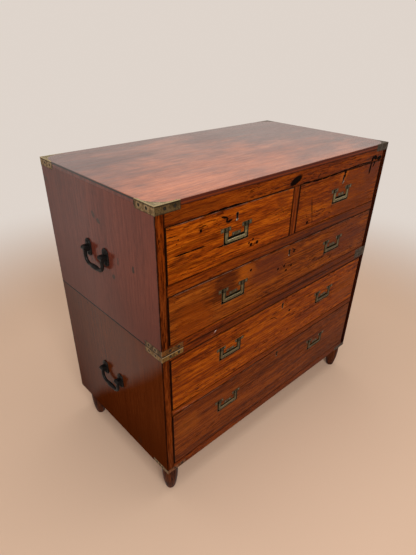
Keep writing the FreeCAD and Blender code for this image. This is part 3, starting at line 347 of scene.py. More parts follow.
def worn_and_shaded_edges(place, colour, seed, box, dirt, rubbed_and_lit):
    """Adds a ragged dark line, dirt and painted shade, along the edges of a board. With a pale arris asked
    for, the upper arris turns pale where noise allows, for wear and a painted highlight, and painted shade
    with dirt fills the gaps at both ends and behind the face. Gives the colour and the line."""
    gap = edge_distance(place, *box)
    # a ragged dark line near every edge: dirt, and painted shade where boards meet
    line = (gap - noise(place, even(60.0), seed + 17.0, 3.0) * 0.006).step(0.0005, -0.002)
    if not rubbed_and_lit:
        return mix(line * dirt, colour, DIRT_AND_SHADE), line
    x, y, z = split(place)
    (left, front, _), (right, _, upper) = box
    broken = noise(place, even(30.0), seed + 19.0, 3.0).step(0.40, 0.60)
    # the upper arris painted pale: wear, and a highlight where the rounded edge catches light
    colour = mix((upper - z).step(0.0020, 0.0010) * broken * rubbed_and_lit, colour, WEAR_AND_HIGHLIGHT)
    # painted shade with dirt in the gaps at both ends of a front and just behind its face
    ends = (x - left).least(right - x).step(0.0032, 0.0018)
    behind = y.step(front + 0.0006, front + 0.0014) * y.step(front + 0.012, front + 0.006)
    line = (line * dirt).most(ends.most(behind))
    return mix(line, colour, DIRT_AND_SHADE), line


print("rubbed wood is", round(WEAR_AND_HIGHLIGHT[0] / DIRT_AND_SHADE[0]), "times as bright as dirt")

# %% [markdown]
# The rest of age is marks: zones where the wood is stained or rubbed, holes and scratches, and fields of
# worm holes. A worm hole is 1.5 to 2 mm across, so on a chest this size it is no more than a dark dot, and a
# painted dot with a dent in the relief is enough.

# %% Age on timber
HOLE = rgb(0.004, 0.0015, 0.001)
PITS_A_METRE = 135.0


def aged_and_shaded(place, surface, seed, box=None, dirt=0.7, rubbed_and_lit=0.0, zones=(), holes=(), pits=()):
    """Adds wear and painted shade to a surface. box is the board, dirt the strength of the dark line round
    it, which is dirt and painted shade, and the number after it how pale its upper arris is, for wear and a
    painted highlight. zones are (spot, half lengths, turn, colour, strength), and holes and pits are (spot,
    half lengths, turn): a hole is one dark shape, which also paints the shade in a wide gap, and pits are
    the cells of a Voronoi pattern in a field."""
    colour, roughness, relief = surface
    torn = ragged(place, even(0.014), even(45.0), seed + 23.0)
    for spot, size, turn, tint, strength in zones:
        colour = mix(oval(torn, spot, size, turn, 0.5) * strength, colour, tint)
    if box:
        colour, line = worn_and_shaded_edges(place, colour, seed, box, dirt, rubbed_and_lit)
        roughness = roughness + line * 0.2
    small = ragged(place, even(0.002), even(200.0), seed + 29.0)
    shapes = [oval(small, *hole, 0.7) for hole in holes]
    if pits:
        cells = place.node("TexVoronoi", (), {"Vector": place, "Scale": PITS_A_METRE})
        chance = noise(place, even(170.0), seed + 37.0, 1.0).step(0.50, 0.56)
        shapes += [cells.step(0.34, 0.22) * chance * oval(torn, *field, 0.4) for field in pits]
    if shapes:
        total = functools.reduce(Socket.most, shapes)
        colour = mix(total, colour, HOLE)
        roughness = roughness + total * 0.4
        relief = relief - total * 3.0
    return colour, roughness, relief


print("worm holes sit in cells", round(1000 / PITS_A_METRE, 1), "mm apart")

# %% [markdown]
# Two small helpers serve every board. One hands a finish to a measured node, whose mesh and place are left
# as they are. The other asks where the node is, so that no position has to be typed in by hand.

# %% Dress a node, and ask for its corners
def dress(node, material):
    """Gives a measured node its finish."""
    NODES[node].data.materials.clear()
    NODES[node].data.materials.append(material)


def corners_of(node):
    """The lowest and the highest corner of a node's box."""
    return [tuple(corner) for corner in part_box(node)]


print("the first drawer front reaches from", *np.round(corners_of("drawer_1_front"), 3))

# %% [markdown]
# ## Softened boards
#
# Nothing handmade has a razor edge. The measured boards have, and they are loose triangles, which no
# modifier can round. So the boards that show are copied, and their doubled corners are merged, here with
# numpy's unique. Merge by Distance in Edit Mode does the same by hand, but arrays are quick and serve the
# brass further down too. The copy stands for the measured board and rides on the same body.

# %% A merged copy that stands for a board
MICROMETRES = 1e6
SHARP_ANGLE = 32


def merged(node):
    """Corners and triangles of a measured node, with corners at the same micrometre made one."""
    mesh = NODES[node].data
    mesh.calc_loop_triangles()
    points = np.empty(len(mesh.vertices) * 3)
    mesh.vertices.foreach_get("co", points)
    corners = np.empty(len(mesh.loop_triangles) * 3, int)
    mesh.loop_triangles.foreach_get("vertices", corners)
    points = points.reshape(-1, 3)
    rounded = np.round(points * MICROMETRES)
    _, first, number = np.unique(rounded, axis=0, return_index=True, return_inverse=True)
    triangles = number.reshape(-1)[corners].reshape(-1, 3)
    a, b, c = triangles.T
    whole = (a != b) & (b != c) & (c != a)
    return points[first], triangles[whole]


def stand_in(node, points, triangles, materials, kinds=None):
    """A new piece that stands for a measured node. kinds gives each triangle its material's number."""
    mesh = bpy.data.meshes.new(node + "_finished")
    mesh.from_pydata(points.tolist(), [], triangles.tolist())
    for material in materials:
        mesh.materials.append(material)
    if kinds is not None:
        mesh.polygons.foreach_set("material_index", kinds)
    mesh.shade_smooth()
    mesh.set_sharp_from_angle(angle=math.radians(SHARP_ANGLE))
    piece = bpy.data.objects.new(node + "_finished", mesh)
    bpy.context.scene.collection.objects.link(piece)
    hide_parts(node)
    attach(piece, BODY_OF[node])
    return piece


loose = len(NODES["drawer_1_front"].data.vertices)
print("a drawer front has", loose, "corners, and", len(merged("drawer_1_front")[0]), "once merged")

# %% [markdown]
# The Bevel modifier rounds the edges of a board's outer face by about a millimetre. It could take every
# sharp edge by angle, but then the joints cut into a board would lose their crispness. So only the edges on
# the outline of the outer face get a weight: their two ends lie on that side of the board's box and on one
# more.

# %% Soften the outline of a face
SOFT_EDGE = 0.0012
SOFT_TOP_EDGE = 0.0010
ON_FACE = 1e-5
WOOD_RELIEF = 0.0005


def soften(node, faces, width, material):
    """Rounds the outline of a board's outer faces. faces are signs and axes, such as "-y" for the front."""
    points, triangles = merged(node)
    low, high = points.min(0), points.max(0)
    on_low = np.abs(points - low) < ON_FACE
    on_high = np.abs(points - high) < ON_FACE
    piece = stand_in(node, points, triangles, [material])
    ends = np.empty(len(piece.data.edges) * 2, int)
    piece.data.edges.foreach_get("vertices", ends)
    a, b = ends.reshape(-1, 2).T
    both = np.concatenate([on_low[a] & on_low[b], on_high[a] & on_high[b]], axis=1)
    shown = [("-x", "-y", "-z", "+x", "+y", "+z").index(face) for face in faces]
    chosen = both[:, shown].any(1) & (both.sum(1) >= 2)
    weights = piece.data.attributes.new("bevel_weight_edge", "FLOAT", "EDGE")
    weights.data.foreach_set("value", chosen.astype(np.float32))
    bevel = piece.modifiers.new("softened", "BEVEL")
    bevel.limit_method = "WEIGHT"
    bevel.width = width
    bevel.segments = 2
    bevel.use_clamp_overlap = False
    bevel.harden_normals = True
    return piece


print("softened edges are", SOFT_EDGE * 1000, "mm wide")

# %% [markdown]
# ## The drawer fronts
#
# Every knot, crack and stain of an old front is its own. Marks are placed by the pixel at which they show:
# a dot for a hole, strokes for a crack, and a patch for a stain. They could be cut into the mesh instead,
# but most are no deeper than a scratch, so a colour and a dent in the relief are enough.

# %% Marks by pixel
MARK_DEPTH = 0.003


def front_spot(pixel):
    """The place on the drawers' faces that shows at a pixel."""
    return seen(pixel, "y", FRONT_FACE)


def dot(pixel, radius=0.0045):
    """A round hole at a pixel."""
    return front_spot(pixel), (radius, MARK_DEPTH, radius), 0.0


def stroke(start, end, width=0.0011):
    """A straight mark between two pixels: an oval whose turn is the slope between its ends."""
    a, b = np.array(front_spot(start)), np.array(front_spot(end))
    across, up = (b - a)[[0, 2]]
    turn = math.degrees(math.atan2(-up, across))
    return tuple((a + b) / 2), (0.6 * math.hypot(across, up), MARK_DEPTH, width), turn


def strokes(pixels, width=0.0011):
    """Marks that join a row of pixels."""
    return [stroke(start, end, width) for start, end in zip(pixels, pixels[1:])]


def patch(pixel, size, tint, strength, turn=0.0):
    """A zone of another colour. size is its half lengths along x and z."""
    return front_spot(pixel), (size[0], 0.01, size[1]), turn, tint, strength


def shaded(tones, factor):
    """Tones made darker, or lighter if the factor is over 1."""
    return [rgb(*(factor * part for part in tone[:3])) for tone in tones]


def tinted(mark, tint, strength=0.9):
    """A hole's shape as a zone of a colour."""
    return *mark, tint, strength


FIRST_KEYHOLE = (238, 216)
print("keyhole of the first drawer at", np.round(front_spot(FIRST_KEYHOLE), 3))

# %% [markdown]
# The fronts are the best wood of the chest, sawn so that the figure runs across. The two small drawers and
# the one below the waist are bright orange-brown, the other two are browner, and all are darker to the
# right, where less light has reached them. One timber with other tones serves for all, because it is one
# tree.

# %% Tones and stains of the fronts
BRIGHT = (rgb(0.090, 0.0130, 0.0006), rgb(0.215, 0.038, 0.0010), rgb(0.38, 0.090, 0.0035))
BROWN = (rgb(0.070, 0.0130, 0.0013), rgb(0.170, 0.035, 0.0025), rgb(0.28, 0.072, 0.006))
RED = (rgb(0.060, 0.0110, 0.0014), rgb(0.130, 0.026, 0.0030), rgb(0.21, 0.050, 0.007))
PURPLE = rgb(0.040, 0.0095, 0.0055)
DEEP = rgb(0.055, 0.010, 0.002)
PLUM = rgb(0.095, 0.020, 0.008)
AMBER = rgb(0.36, 0.085, 0.004)
CHIP = rgb(0.75, 0.66, 0.60)
SATIN = {"Specular IOR Level": 0.03, "Specular Tint": rgb(1.0, 0.6, 0.3)}

FRONT_TIMBER = {
    1: (shaded(BRIGHT, 1.08), {"heart": (0.10, -0.60)}),
    2: (shaded(BRIGHT, 0.85), {"heart": (0.10, -0.70)}),
    3: (BROWN, {"heart": (0.06, -0.56), "tilt": 5.0, "rings": 22.0}),
    4: (shaded(BRIGHT, 0.93), {"heart": (0.12, -0.30)}),
    5: (RED, {"heart": (0.12, -0.10), "dashes": 0.6}),
}
FRONT_ZONES = {
    1: [patch((284, 198), (0.03, 0.05), DEEP, 0.3), patch((180, 262), (0.03, 0.02), DEEP, 0.35)],
    2: [patch((372, 172), (0.06, 0.05), PLUM, 0.8), patch((368, 200), (0.07, 0.02), RED[1], 0.6, -20),
        patch((352, 194), (0.16, 0.09), RED[1], 0.6),
        patch((344, 176), (0.020, 0.030), AMBER, 0.5, 60), tinted(dot((343.4, 182), 0.0035), CHIP)],
    3: [patch((226, 284), (0.055, 0.055), DEEP, 0.7), patch((248, 272), (0.045, 0.028), AMBER, 0.6, 15),
        patch((268, 268), (0.10, 0.06), PLUM, 0.6), patch((345, 237), (0.14, 0.07), PLUM, 0.6),
        patch((194, 322), (0.08, 0.07), BRIGHT[1], 0.45)],
    4: [patch((345, 285), (0.10, 0.07), RED[2], 0.5), patch((178, 375), (0.04, 0.08), DEEP, 0.2)],
    5: [patch((330, 345), (0.20, 0.09), RED[0], 0.35), patch((188, 425), (0.06, 0.05), BROWN[2], 0.3)],
}
print(sum(len(zones) for zones in FRONT_ZONES.values()), "zones of other colours")

# %% [markdown]
# The wood round the first keyhole has split and lost small chips, a long crack runs under the top rail, and
# worm has left groups of pinholes. The big marks are listed one by one. The pinholes are a Voronoi pattern
# inside an oval field, because nobody would place hundreds by hand.

# %% Cracks, chips and worm
# the wide gap under the top rail over the first drawer: its shade is painted as dark strokes
GAP_SHADE = [(208, 214), (218.5, 210.5), (228.5, 207.2), (242, 203.2)]
CRACK = [(303, 183.5), (312, 181.5), (322.6, 179), (330, 176),
         (338.5, 173), (348, 169), (360.6, 164.5), (371.6, 161.6)]
CHIPPED = [(221.5, 217.5), (227.7, 217.5), (226.5, 222.5), (232.5, 219.5)]
LONG_SCRATCH = [(175, 257), (190, 251.5), (205, 246)]
KEY_SPLIT = [(346.8, 169), (345, 174), (344.4, 178)]
SCRIBBLE = [(270, 319), (274, 317.5), (277, 318.5)]

FRONT_HOLES = {
    1: [dot((251, 244.5), 0.0055), dot((257, 242), 0.0055), dot((253, 239), 0.0035), dot((249, 243), 0.0035),
        dot((201, 231), 0.0045), *strokes(CHIPPED, 0.0032), *strokes(LONG_SCRATCH, 0.0022),
        stroke((217, 248), (226, 244.5), 0.0018), *strokes(GAP_SHADE, 0.0030)],
    2: [dot((307, 222.5), 0.0055), *strokes(CRACK, 0.0032), *strokes(KEY_SPLIT, 0.0075),
        stroke((372, 161), (368.8, 174), 0.0060), stroke((375.5, 161), (372.5, 167), 0.0040),
        stroke((312, 197), (312, 224), 0.0018)],
    3: [dot((251, 270), 0.0045), dot((278, 269)), dot((284, 266)), dot((286, 270)), dot((291, 265)),
        dot((294, 251), 0.0045), stroke((292, 248), (296, 250), 0.0014)],
    4: [dot((289.5, 310), 0.0055), dot((286, 305), 0.003), *strokes(SCRIBBLE, 0.0013),
        stroke((272, 315), (279, 311), 0.001), dot((281, 331), 0.003), dot((287, 329), 0.003)],
    5: [],
}
# how pale each front's upper arris is painted: wear, and a highlight where the edge catches light
ARRIS_WEAR_AND_HIGHLIGHT = {1: 1.0, 2: 0.3, 3: 1.0, 4: 0.15, 5: 0.6}
FRONT_PITS = {
    1: [((282, 212), (0.045, 0.003, 0.035), 0), ((178, 243), (0.02, 0.003, 0.03), 0)],
    2: [((306, 216), (0.025, 0.003, 0.035), 0)],
    3: [((284, 267), (0.05, 0.003, 0.02), 0)],
}
print(sum(len(holes) for holes in FRONT_HOLES.values()), "dots and strokes")

# %% [markdown]
# Each front gets a material of its own, because its board has its own place in the tree and its own marks.
# The five could share one material with a random value for each object, but a random value can't put a crack
# in its place.

# %% Finish the drawer fronts
for number, (tones, figure) in FRONT_TIMBER.items():
    node = f"drawer_{number}_front"
    material, place = start_material(node)
    pits = [(front_spot(pixel), *rest) for pixel, *rest in FRONT_PITS.get(number, [])]
    bare = timber(place, "x", tones, 20.0 * number, **figure)
    surface = aged_and_shaded(place, bare, 20.0 * number, corners_of(node), 0.6, ARRIS_WEAR_AND_HIGHLIGHT[number],
                   FRONT_ZONES[number], FRONT_HOLES[number], pits)
    end_material(place, surface, WOOD_RELIEF, SATIN)
    soften(node, ["-y"], SOFT_EDGE, material)
    print(node, "has", len(material.node_tree.nodes), "shader nodes")

# %% [markdown]
# ## Rails
#
# The rails between the drawers are the same wood. Their right halves are painted a dark purple-brown, as
# shade, because less light reaches the right of the chest. It sets in along x, and noise moves its border,
# so that it doesn't end in a straight line. On the top rail the crack of the drawer below runs on, beside a
# dark stain and a split near the right end, and the shade in the wide gap over the first drawer is painted
# on its lower edge.

# %% Tones and marks of the rails
RAIL = (rgb(0.060, 0.009, 0.0008), rgb(0.145, 0.024, 0.0013), rgb(0.25, 0.052, 0.0025))
# seed of the timber, where along x the painted shade begins and is full, and how strong it is
RAIL_RIGHT_SHADE = {
    "upper_top_rail": (43.0, 0.10, 0.75, 0.45),
    "upper_drawer_rail": (52.0, -0.30, 0.05, 0.85),
    "upper_floor": (34.0, -0.40, 0.10, 0.75),
    "lower_lid": (28.0, -0.45, 0.0, 0.85),
    "lower_drawer_rail": (52.0, -0.40, 0.30, 0.6),
    "lower_floor": (34.0, -0.3, 0.3, 0.5),
}
STAIN = [stroke((290.3, 185.3), (302.3, 176.0), 0.0118)]
SPLIT = strokes([(371.6, 161.6), (374, 156.5), (377, 158.5), (381.4, 157)], 0.0075)
NICK = [stroke((318, 178), (321, 173), 0.0016)]
RAIL_ZONES = {
    "upper_top_rail": [patch((345, 171), (0.07, 0.009), PLUM, 0.6),
                       patch((190, 211), (0.12, 0.02), DEEP, 0.35)],
    "lower_lid": [tinted(stroke((211, 335), (213.5, 333.5), 0.0016), CHIP),
                  tinted(stroke((213.5, 333), (216, 330), 0.0011), CHIP)],
    "lower_drawer_rail": [tinted(stroke((172, 414), (200, 398), 0.0010), WEAR_AND_HIGHLIGHT, 0.7),
                          tinted(stroke((172, 418), (190, 407), 0.0008), WEAR_AND_HIGHLIGHT, 0.6)],
}
RAIL_HOLES = {
    "upper_top_rail": strokes(GAP_SHADE, 0.0030) + strokes(CRACK, 0.0022) + SPLIT + STAIN + NICK,
    "lower_drawer_rail": [stroke((172, 416), (202, 399), 0.0011), stroke((173, 411), (198, 396), 0.0009)],
}
print(sum(len(holes) for holes in RAIL_HOLES.values()), "cracks and stains on the rails")

# %% [markdown]
# Only the thin front edge of a rail shows, so its mesh stays as it was measured, and it gets a material
# alone. The painted shade is purple where the wood is smooth and red in its rough streaks. The divider
# between the two small drawers is a short rail set upright.

# %% Finish the rails
RIGHT_SHADE_ROUGHNESS = (0.34, 0.5)

for node, (seed, first, last, strength) in RAIL_RIGHT_SHADE.items():
    material, place = start_material(node)
    colour, roughness, relief = timber(place, "x", RAIL, seed)
    x = split(ragged(place, even(0.10), (5.0, 5.0, 40.0), 4.0))[0]
    # the right half is painted purple-brown, as shade where less light reaches
    heart = mix(roughness.step(*RIGHT_SHADE_ROUGHNESS), PURPLE, RED[1])
    colour = mix(x.step(first, last) * strength, colour, heart)
    zones, holes = RAIL_ZONES.get(node, []), RAIL_HOLES.get(node, [])
    surface = aged_and_shaded(place, (colour, roughness, relief), 7.0, corners_of(node), zones=zones, holes=holes)
    end_material(place, surface, WOOD_RELIEF, SATIN)
    dress(node, material)

material, place = start_material("upper_divider")
surface = aged_and_shaded(place, timber(place, "z", RAIL, 5.0), 5.0, corners_of("upper_divider"))
end_material(place, surface, WOOD_RELIEF, SATIN)
dress("upper_divider", material)
print(len(RAIL_RIGHT_SHADE), "rails and a divider")

# %% [markdown]
# ## The sides
#
# The broad faces of the side boards have bloomed to a purple-brown under old wax. A lighter colour could
# stand for that bloom, but wax changes with the light. So it is a clear coat, which mirrors the pale room.
# Its weight fades towards the lower front, where knees and boots have rubbed it off: there a slanting line,
# made ragged by noise, ends it.

# %% Waxy bloom
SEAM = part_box("upper_side_left")[0].z
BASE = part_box("lower_side_left")[0].z
BLOOM_LINE = 0.26
BLOOM_BORDER = 0.035


def bloom_weight(place, seed):
    """How much waxy bloom lies on a side: most in the middle of its depth, a little more near the waist, and
    none below the slanting line y + z = BLOOM_LINE."""
    y, z = split(place)[1:]
    cloud = noise(place, (3.0, 3.0, 1.5), seed, 3.0) - 0.5
    by_depth = y.least(0.05) * 0.9 - y.most(0.05) * 1.1
    near_waist = z.step(SEAM + 0.02, SEAM - 0.03) * y.step(0.06, -0.12)
    weight = 0.315 + z * 0.5 + by_depth + near_waist * 0.09 + cloud * 0.25
    line = (y + z + cloud * 0.1).step(BLOOM_LINE - BLOOM_BORDER, BLOOM_LINE + BLOOM_BORDER)
    return weight.most(0.0) * line


print("the two sections meet at", round(SEAM, 3), "m and the lower one begins at", round(BASE, 3), "m")

# %% [markdown]
# The front edges of the side boards, the stiles, are orange like the drawers. They are duller below the top
# and again near the floor, so one tint multiplies the colour twice. Their two arrises are dark, with dirt
# and painted shade.

# %% Colour of a stile
STILE = (rgb(0.055, 0.009, 0.0010), rgb(0.150, 0.026, 0.0024), rgb(0.24, 0.050, 0.005))
# the right stile's tones are painted darker, as shade
STILE_DARK = (rgb(0.014, 0.003, 0.0008), rgb(0.035, 0.007, 0.0015), rgb(0.07, 0.014, 0.003))
STILE_DULLING = rgb(0.78, 0.88, 1.5)
STILE_DULLING_BELOW = ((0.78, 0.68), (0.24, 0.16))


def stile_colour(place, node, tones, seed):
    """Upright timber, tinted below each height and darkened within 1.4 mm of the board's two faces, dirt and
    painted shade.
    """
    colour = timber(place, "z", tones, seed)[0]
    x, _, z = split(place)
    for fade in STILE_DULLING_BELOW:
        colour = mix(z.step(*fade), colour, STILE_DULLING, "MULTIPLY")
    low, high = corners_of(node)
    # both arrises darkened: dirt and painted shade
    arris = (x - low[0]).least(high[0] - x).step(0.0028, 0.0014)
    return mix(arris * 0.85, colour, DIRT_AND_SHADE)


# %% [markdown]
# A side board is cut with its grain upright, and its figure is calm. Painted light and shade make it palest
# towards the front and darker towards the back and the waist, and painted shade turns it brown near the
# floor. A few smudges have dried to a dull green. The stile is mixed in where y is at the front, because the
# board is one mesh with one material.

# %% Material of a side board
SIDE = (rgb(0.090, 0.022, 0.014), rgb(0.145, 0.037, 0.024), rgb(0.187, 0.052, 0.032))
SIDE_LOW = (rgb(0.064, 0.0130, 0.0024), rgb(0.091, 0.0195, 0.0036), rgb(0.115, 0.0275, 0.0060))
SHADE = rgb(0.060, 0.0130, 0.0022)
GREENISH = rgb(0.022, 0.020, 0.013)
CALM_RELIEF = 0.0004
SMUDGES = {
    "upper": [((93, 214), (0.01, 0.010, 0.012), 0.7), ((98, 221), (0.01, 0.007, 0.009), 0.8),
              ((133, 270), (0.01, 0.007, 0.012), 0.9), ((114, 277), (0.01, 0.008, 0.010), 0.8),
              ((118, 262), (0.01, 0.006, 0.014), 0.6), ((45, 178), (0.01, 0.010, 0.012), 0.5)],
    "lower": [((110, 330), (0.01, 0.005, 0.009), 0.4), ((140, 440), (0.01, 0.012, 0.02), 0.3)],
}


def side_material(node, section, tones, stile_tones, seed):
    """Timber, its colour moved by height and depth as painted light and shade, with the stile, the seam,
    smudges and bloom over it.
    """
    material, place = start_material(node)
    y, z = split(place)[1:]
    colour, roughness, relief = timber(place, "z", tones, seed, dashes=0.3, heart=(0.25, 0.02), shares=CALM)
    # painted light and shade: paler to the front, darker to the back and at the waist, shade near the floor
    colour = mix(y.step(0.05, -0.22) * 0.4, colour, tones[2])
    colour = mix(z.step(0.74, 0.55) * z.step(SEAM - 0.001, SEAM) * 0.6, colour, tones[0])
    colour = mix(y.step(0.0, 0.22) * 0.5, colour, tones[0])
    colour = mix((z + y * 0.2).step(0.28, 0.10) * 0.7, colour, SHADE)
    stile = y.step(FRONT_FACE + 0.0009, FRONT_FACE + 0.0005)
    colour = mix(stile, colour, stile_colour(place, node, stile_tones, seed + 2.0))
    colour = mix((z - SEAM).size().step(0.0026, 0.0014), colour, HOLE)
    low, high = corners_of(node)
    box = low, (*high[:2], SEAM if section == "lower" else TOP_FACE)
    zones = [(seen(pixel, "x", LEFT_FACE), size, 0, GREENISH, strength)
             for pixel, size, strength in SMUDGES[section]]
    surface = aged_and_shaded(place, (colour, roughness - 0.08, relief), seed, box, 0.75, zones=zones)
    end_material(place, surface, CALM_RELIEF, {
        "Coat Weight": bloom_weight(place, seed + 31.0) * (1.0 - stile),
        "Coat Roughness": 0.16, "Specular IOR Level": 0.0,
    })
    return material


print("smudges on the sides:", {section: len(spots) for section, spots in SMUDGES.items()})

# %% [markdown]
# The left and the right boards differ in their seed and in their stiles: the right stile is painted dark,
# as shade, because less light reaches the right of the chest. Upper and lower boards share a seed, as if
# they were sawn from one plank, so the grain runs on over the seam.

# %% Finish the sides
for hand, outer_face, stile_tones, seed in (("left", "-x", STILE, 24.0), ("right", "+x", STILE_DARK, 25.0)):
    for section, tones in (("upper", SIDE), ("lower", SIDE_LOW)):
        node = f"{section}_side_{hand}"
        board = side_material(node, section, tones, stile_tones, seed)
        soften(node, [outer_face], SOFT_EDGE, board)
print(len(bpy.data.materials), "materials so far")

# %% [markdown]
# ## The top
#
# The top is painted a pale salmon colour near the front left corner, as a pool of light where the lamp
# falls, and darker, blotched wood is left further back. A colour ramp on one timber could do it, but the
# pale wood shows other streaks. So two timbers are mixed by a mask that falls off along x and y, with an
# oval glow and cloudy noise added.

# %% Wood of the top's face
TOP_DARK = (rgb(0.070, 0.021, 0.017), rgb(0.120, 0.040, 0.032), rgb(0.17, 0.064, 0.052))
TOP_LIGHT = (rgb(0.35, 0.095, 0.042), rgb(0.46, 0.130, 0.055), rgb(0.57, 0.18, 0.075))
BELOW_TOP = 0.1

material, place = start_material("upper_top")
deep, roughness, relief = timber(place, "x", TOP_DARK, 41.0, dashes=0.35, shares=CALM)
pale = timber(place, "x", TOP_LIGHT, 47.0, dashes=0.35, shares=CALM)[0]
torn = ragged(place, (0.16, 0.07, 0.0), (5.0, 13.0, 1.0), 43.0)
x, y = split(torn)[:2]
# a painted pool of light on the top, palest at the front left where the lamp falls
glow = oval(torn, (-0.36, -0.20, TOP_FACE), (0.24, 0.12, 0.1), 0.0, 0.3)
cloud = noise(place, (6.0, 15.0, 1.0), 53.0, 6.0, 0.66) - 0.5
pool_of_light = (0.51 - y * 1.2 - (x + 0.12).size() * 0.9 + glow * 0.45 + cloud * 1.7).step(0.0, 1.0)
blotch = noise(place, (6.0, 14.0, 1.0), 57.0, 5.0, 0.65).step(0.54, 0.70)
colour = mix(blotch * 0.4, mix(pool_of_light, deep, pale), TOP_DARK[0])
# the box reaches further down than the board, so that no dirt is drawn along the lower edge
low, high = corners_of("upper_top")
box = (*low[:2], low[2] - BELOW_TOP), high
colour, roughness, relief = aged_and_shaded(place, (colour, roughness, relief), 41.0, box, 0.35)
print("the top's face has", len(material.node_tree.nodes), "shader nodes")

# %% [markdown]
# The edges of the top don't take the painted pool of light. The front edge has an orange stripe in brown,
# and the left edge is black above a line, with dirt and painted shade. Over the face lies a grey veil of
# wax, the strongest bloom of all. It is the clear coat again, seen at a low angle where it mirrors the pale
# wall.

# %% Edges of the top, and its veil
TOP_LINE = 0.0046
STRIPE_DEPTH = 0.0085
TOP_RELIEF = 0.0003
STRIPE_BROWN, STRIPE_ORANGE = rgb(0.068, 0.0145, 0.0080), rgb(0.17, 0.030, 0.004)
EDGE_BLACK = rgb(0.016, 0.012, 0.009)

x, _, height = split(place)
under = height.step(TOP_FACE - 0.0006, TOP_FACE - 0.0012)
left = x.step(LEFT_FACE + 0.002, LEFT_FACE + 0.001)
stripe = (height - (TOP_FACE - STRIPE_DEPTH)).size().step(0.0022, 0.0008)
front_edge = mix(stripe * 0.8, STRIPE_BROWN, STRIPE_ORANGE)
# the black band at the top of the left edge: dirt and painted shade
dark_line = height.step(TOP_FACE - TOP_LINE - 0.0008, TOP_FACE - TOP_LINE)
left_edge = mix(dark_line, timber(place, "z", SIDE, 26.0, shares=CALM)[0], EDGE_BLACK)
colour = mix(under, colour, mix(left, front_edge, left_edge))
veil = (0.75 + noise(place, (5.0, 9.0, 1.0), 59.0, 3.0) * 0.4).least(1.0)
end_material(place, (colour, roughness, relief), TOP_RELIEF, {
    "Coat Weight": (1.0 - under) * veil + left * under * bloom_weight(place, 61.0),
    "Coat Roughness": 0.22, "Specular IOR Level": 0.05,
})
soften("upper_top", ["+z"], SOFT_TOP_EDGE, material)
print("the top's edge is softened by", SOFT_TOP_EDGE * 1000, "mm")

# %% [markdown]
# ## Hidden wood and the feet
#
# What a visitor doesn't see was made of plain pale wood and never polished: the drawers' sides and bottoms,
# the back and the boards between the drawers. The back is a row of upright planks, so thin dark grooves
# repeat across it: the distance to the nearest groove is the distance to the nearest multiple of a plank's
# width, which the Ping-Pong operation gives.

# %% Finish the linings and the back
LINING = (rgb(0.13, 0.068, 0.030), rgb(0.25, 0.145, 0.070), rgb(0.36, 0.23, 0.12))
PLANK = 0.145
WHOLE_METRES = 10.0
PLAIN = {"Specular IOR Level": 0.15}


def lining_material(grain, seed, planks=False):
    """Pale timber with broad stains. With planks, a groove lies at each multiple of a plank's width along x,
    which is moved by whole metres to be above zero."""
    material, place = start_material("lining_" + grain)
    colour, roughness, relief = timber(place, grain, LINING, seed, dashes=0.35)
    stain = noise(place, even(4.0), seed + 2.0, 4.0).step(0.45, 0.75)
    colour = mix(stain * 0.45, colour, LINING[0])
    if planks:
        x = split(place)[0]
        groove = x.maths("PINGPONG", x + WHOLE_METRES, PLANK / 2).step(0.0014, 0.0006)
        colour = mix(groove, colour, HOLE)
        relief = relief - groove * 4.0
    end_material(place, (colour, roughness + 0.25, relief), CALM_RELIEF, PLAIN)
    return material


LINING_SEEDS = {"x": 51.0, "y": 53.0, "z": 57.0}
linings = {grain: lining_material(grain, seed, grain == "z") for grain, seed in LINING_SEEDS.items()}
LINED = {"_box": "y", "_bottom": "x", "_back": "z", "_dustboard": "x", "_kickers": "y", "_pegs": "z"}
for node in NODES:
    for ending, grain in LINED.items():
        if node.endswith(ending):
            dress(node, linings[grain])
print(sum(node.endswith(tuple(LINED)) for node in NODES), "nodes of plain wood")

# %% [markdown]
# The feet are turned from dark wood and stand in the shade, so their tones are darkened further as painted
# shade. They keep their measured mesh, because a turned foot is round already and has no arris to soften.

# %% Finish the feet
# the wood's own dark colour, darkened further as painted shade
FOOT = (rgb(0.018, 0.004, 0.001), rgb(0.055, 0.012, 0.0025), rgb(0.10, 0.024, 0.005))
material, place = start_material("feet")
surface = aged_and_shaded(place, timber(place, "z", FOOT, 61.0), 61.0)
end_material(place, surface, WOOD_RELIEF, {
    "Coat Weight": 0.05, "Coat Roughness": 0.25, "Specular IOR Level": 0.03,
})
dress("feet", material)

# %% [markdown]
# ## Brass and iron
#
# Each brass fitting is one node of many loose pieces: a plate, screws, a liner. They could be told apart by
# hand in Edit Mode, piece by piece. Here the merged copy is sorted into its islands: each corner takes the
# lowest number among its neighbours, again and again, until a whole island shares one.

# %% Islands of a mesh
def islands(triangles, count):
    """The least corner number of each corner's island."""
    label = np.arange(count)
    ends = np.concatenate([triangles[:, (0, 1)], triangles[:, (1, 2)]])
    while True:
        least = np.minimum(label[ends[:, 0]], label[ends[:, 1]])
        following = label.copy()
        np.minimum.at(following, ends[:, 0], least)
        np.minimum.at(following, ends[:, 1], least)
        following = following[following]
        if (following == label).all():
            return label
        label = following


def island_boxes(points, label):
    """The lowest and the highest corner of the box round each corner's island."""
    low = np.full(points.shape, np.inf)
    high = -low
    np.minimum.at(low, label, points)
    np.maximum.at(high, label, points)
    return low[label], high[label]


points, triangles = merged("upper_straps")
print("the upper straps are", len(np.unique(islands(triangles, len(points)))), "loose pieces")

# %% [markdown]
# An island's length says what it is: the shortest are screws, then come keyhole liners, and the rest are
# plates. Each corner also keeps how far it lies below the top of its own piece. A material can read that
# number, so one finish fits every pull, wherever it sits.

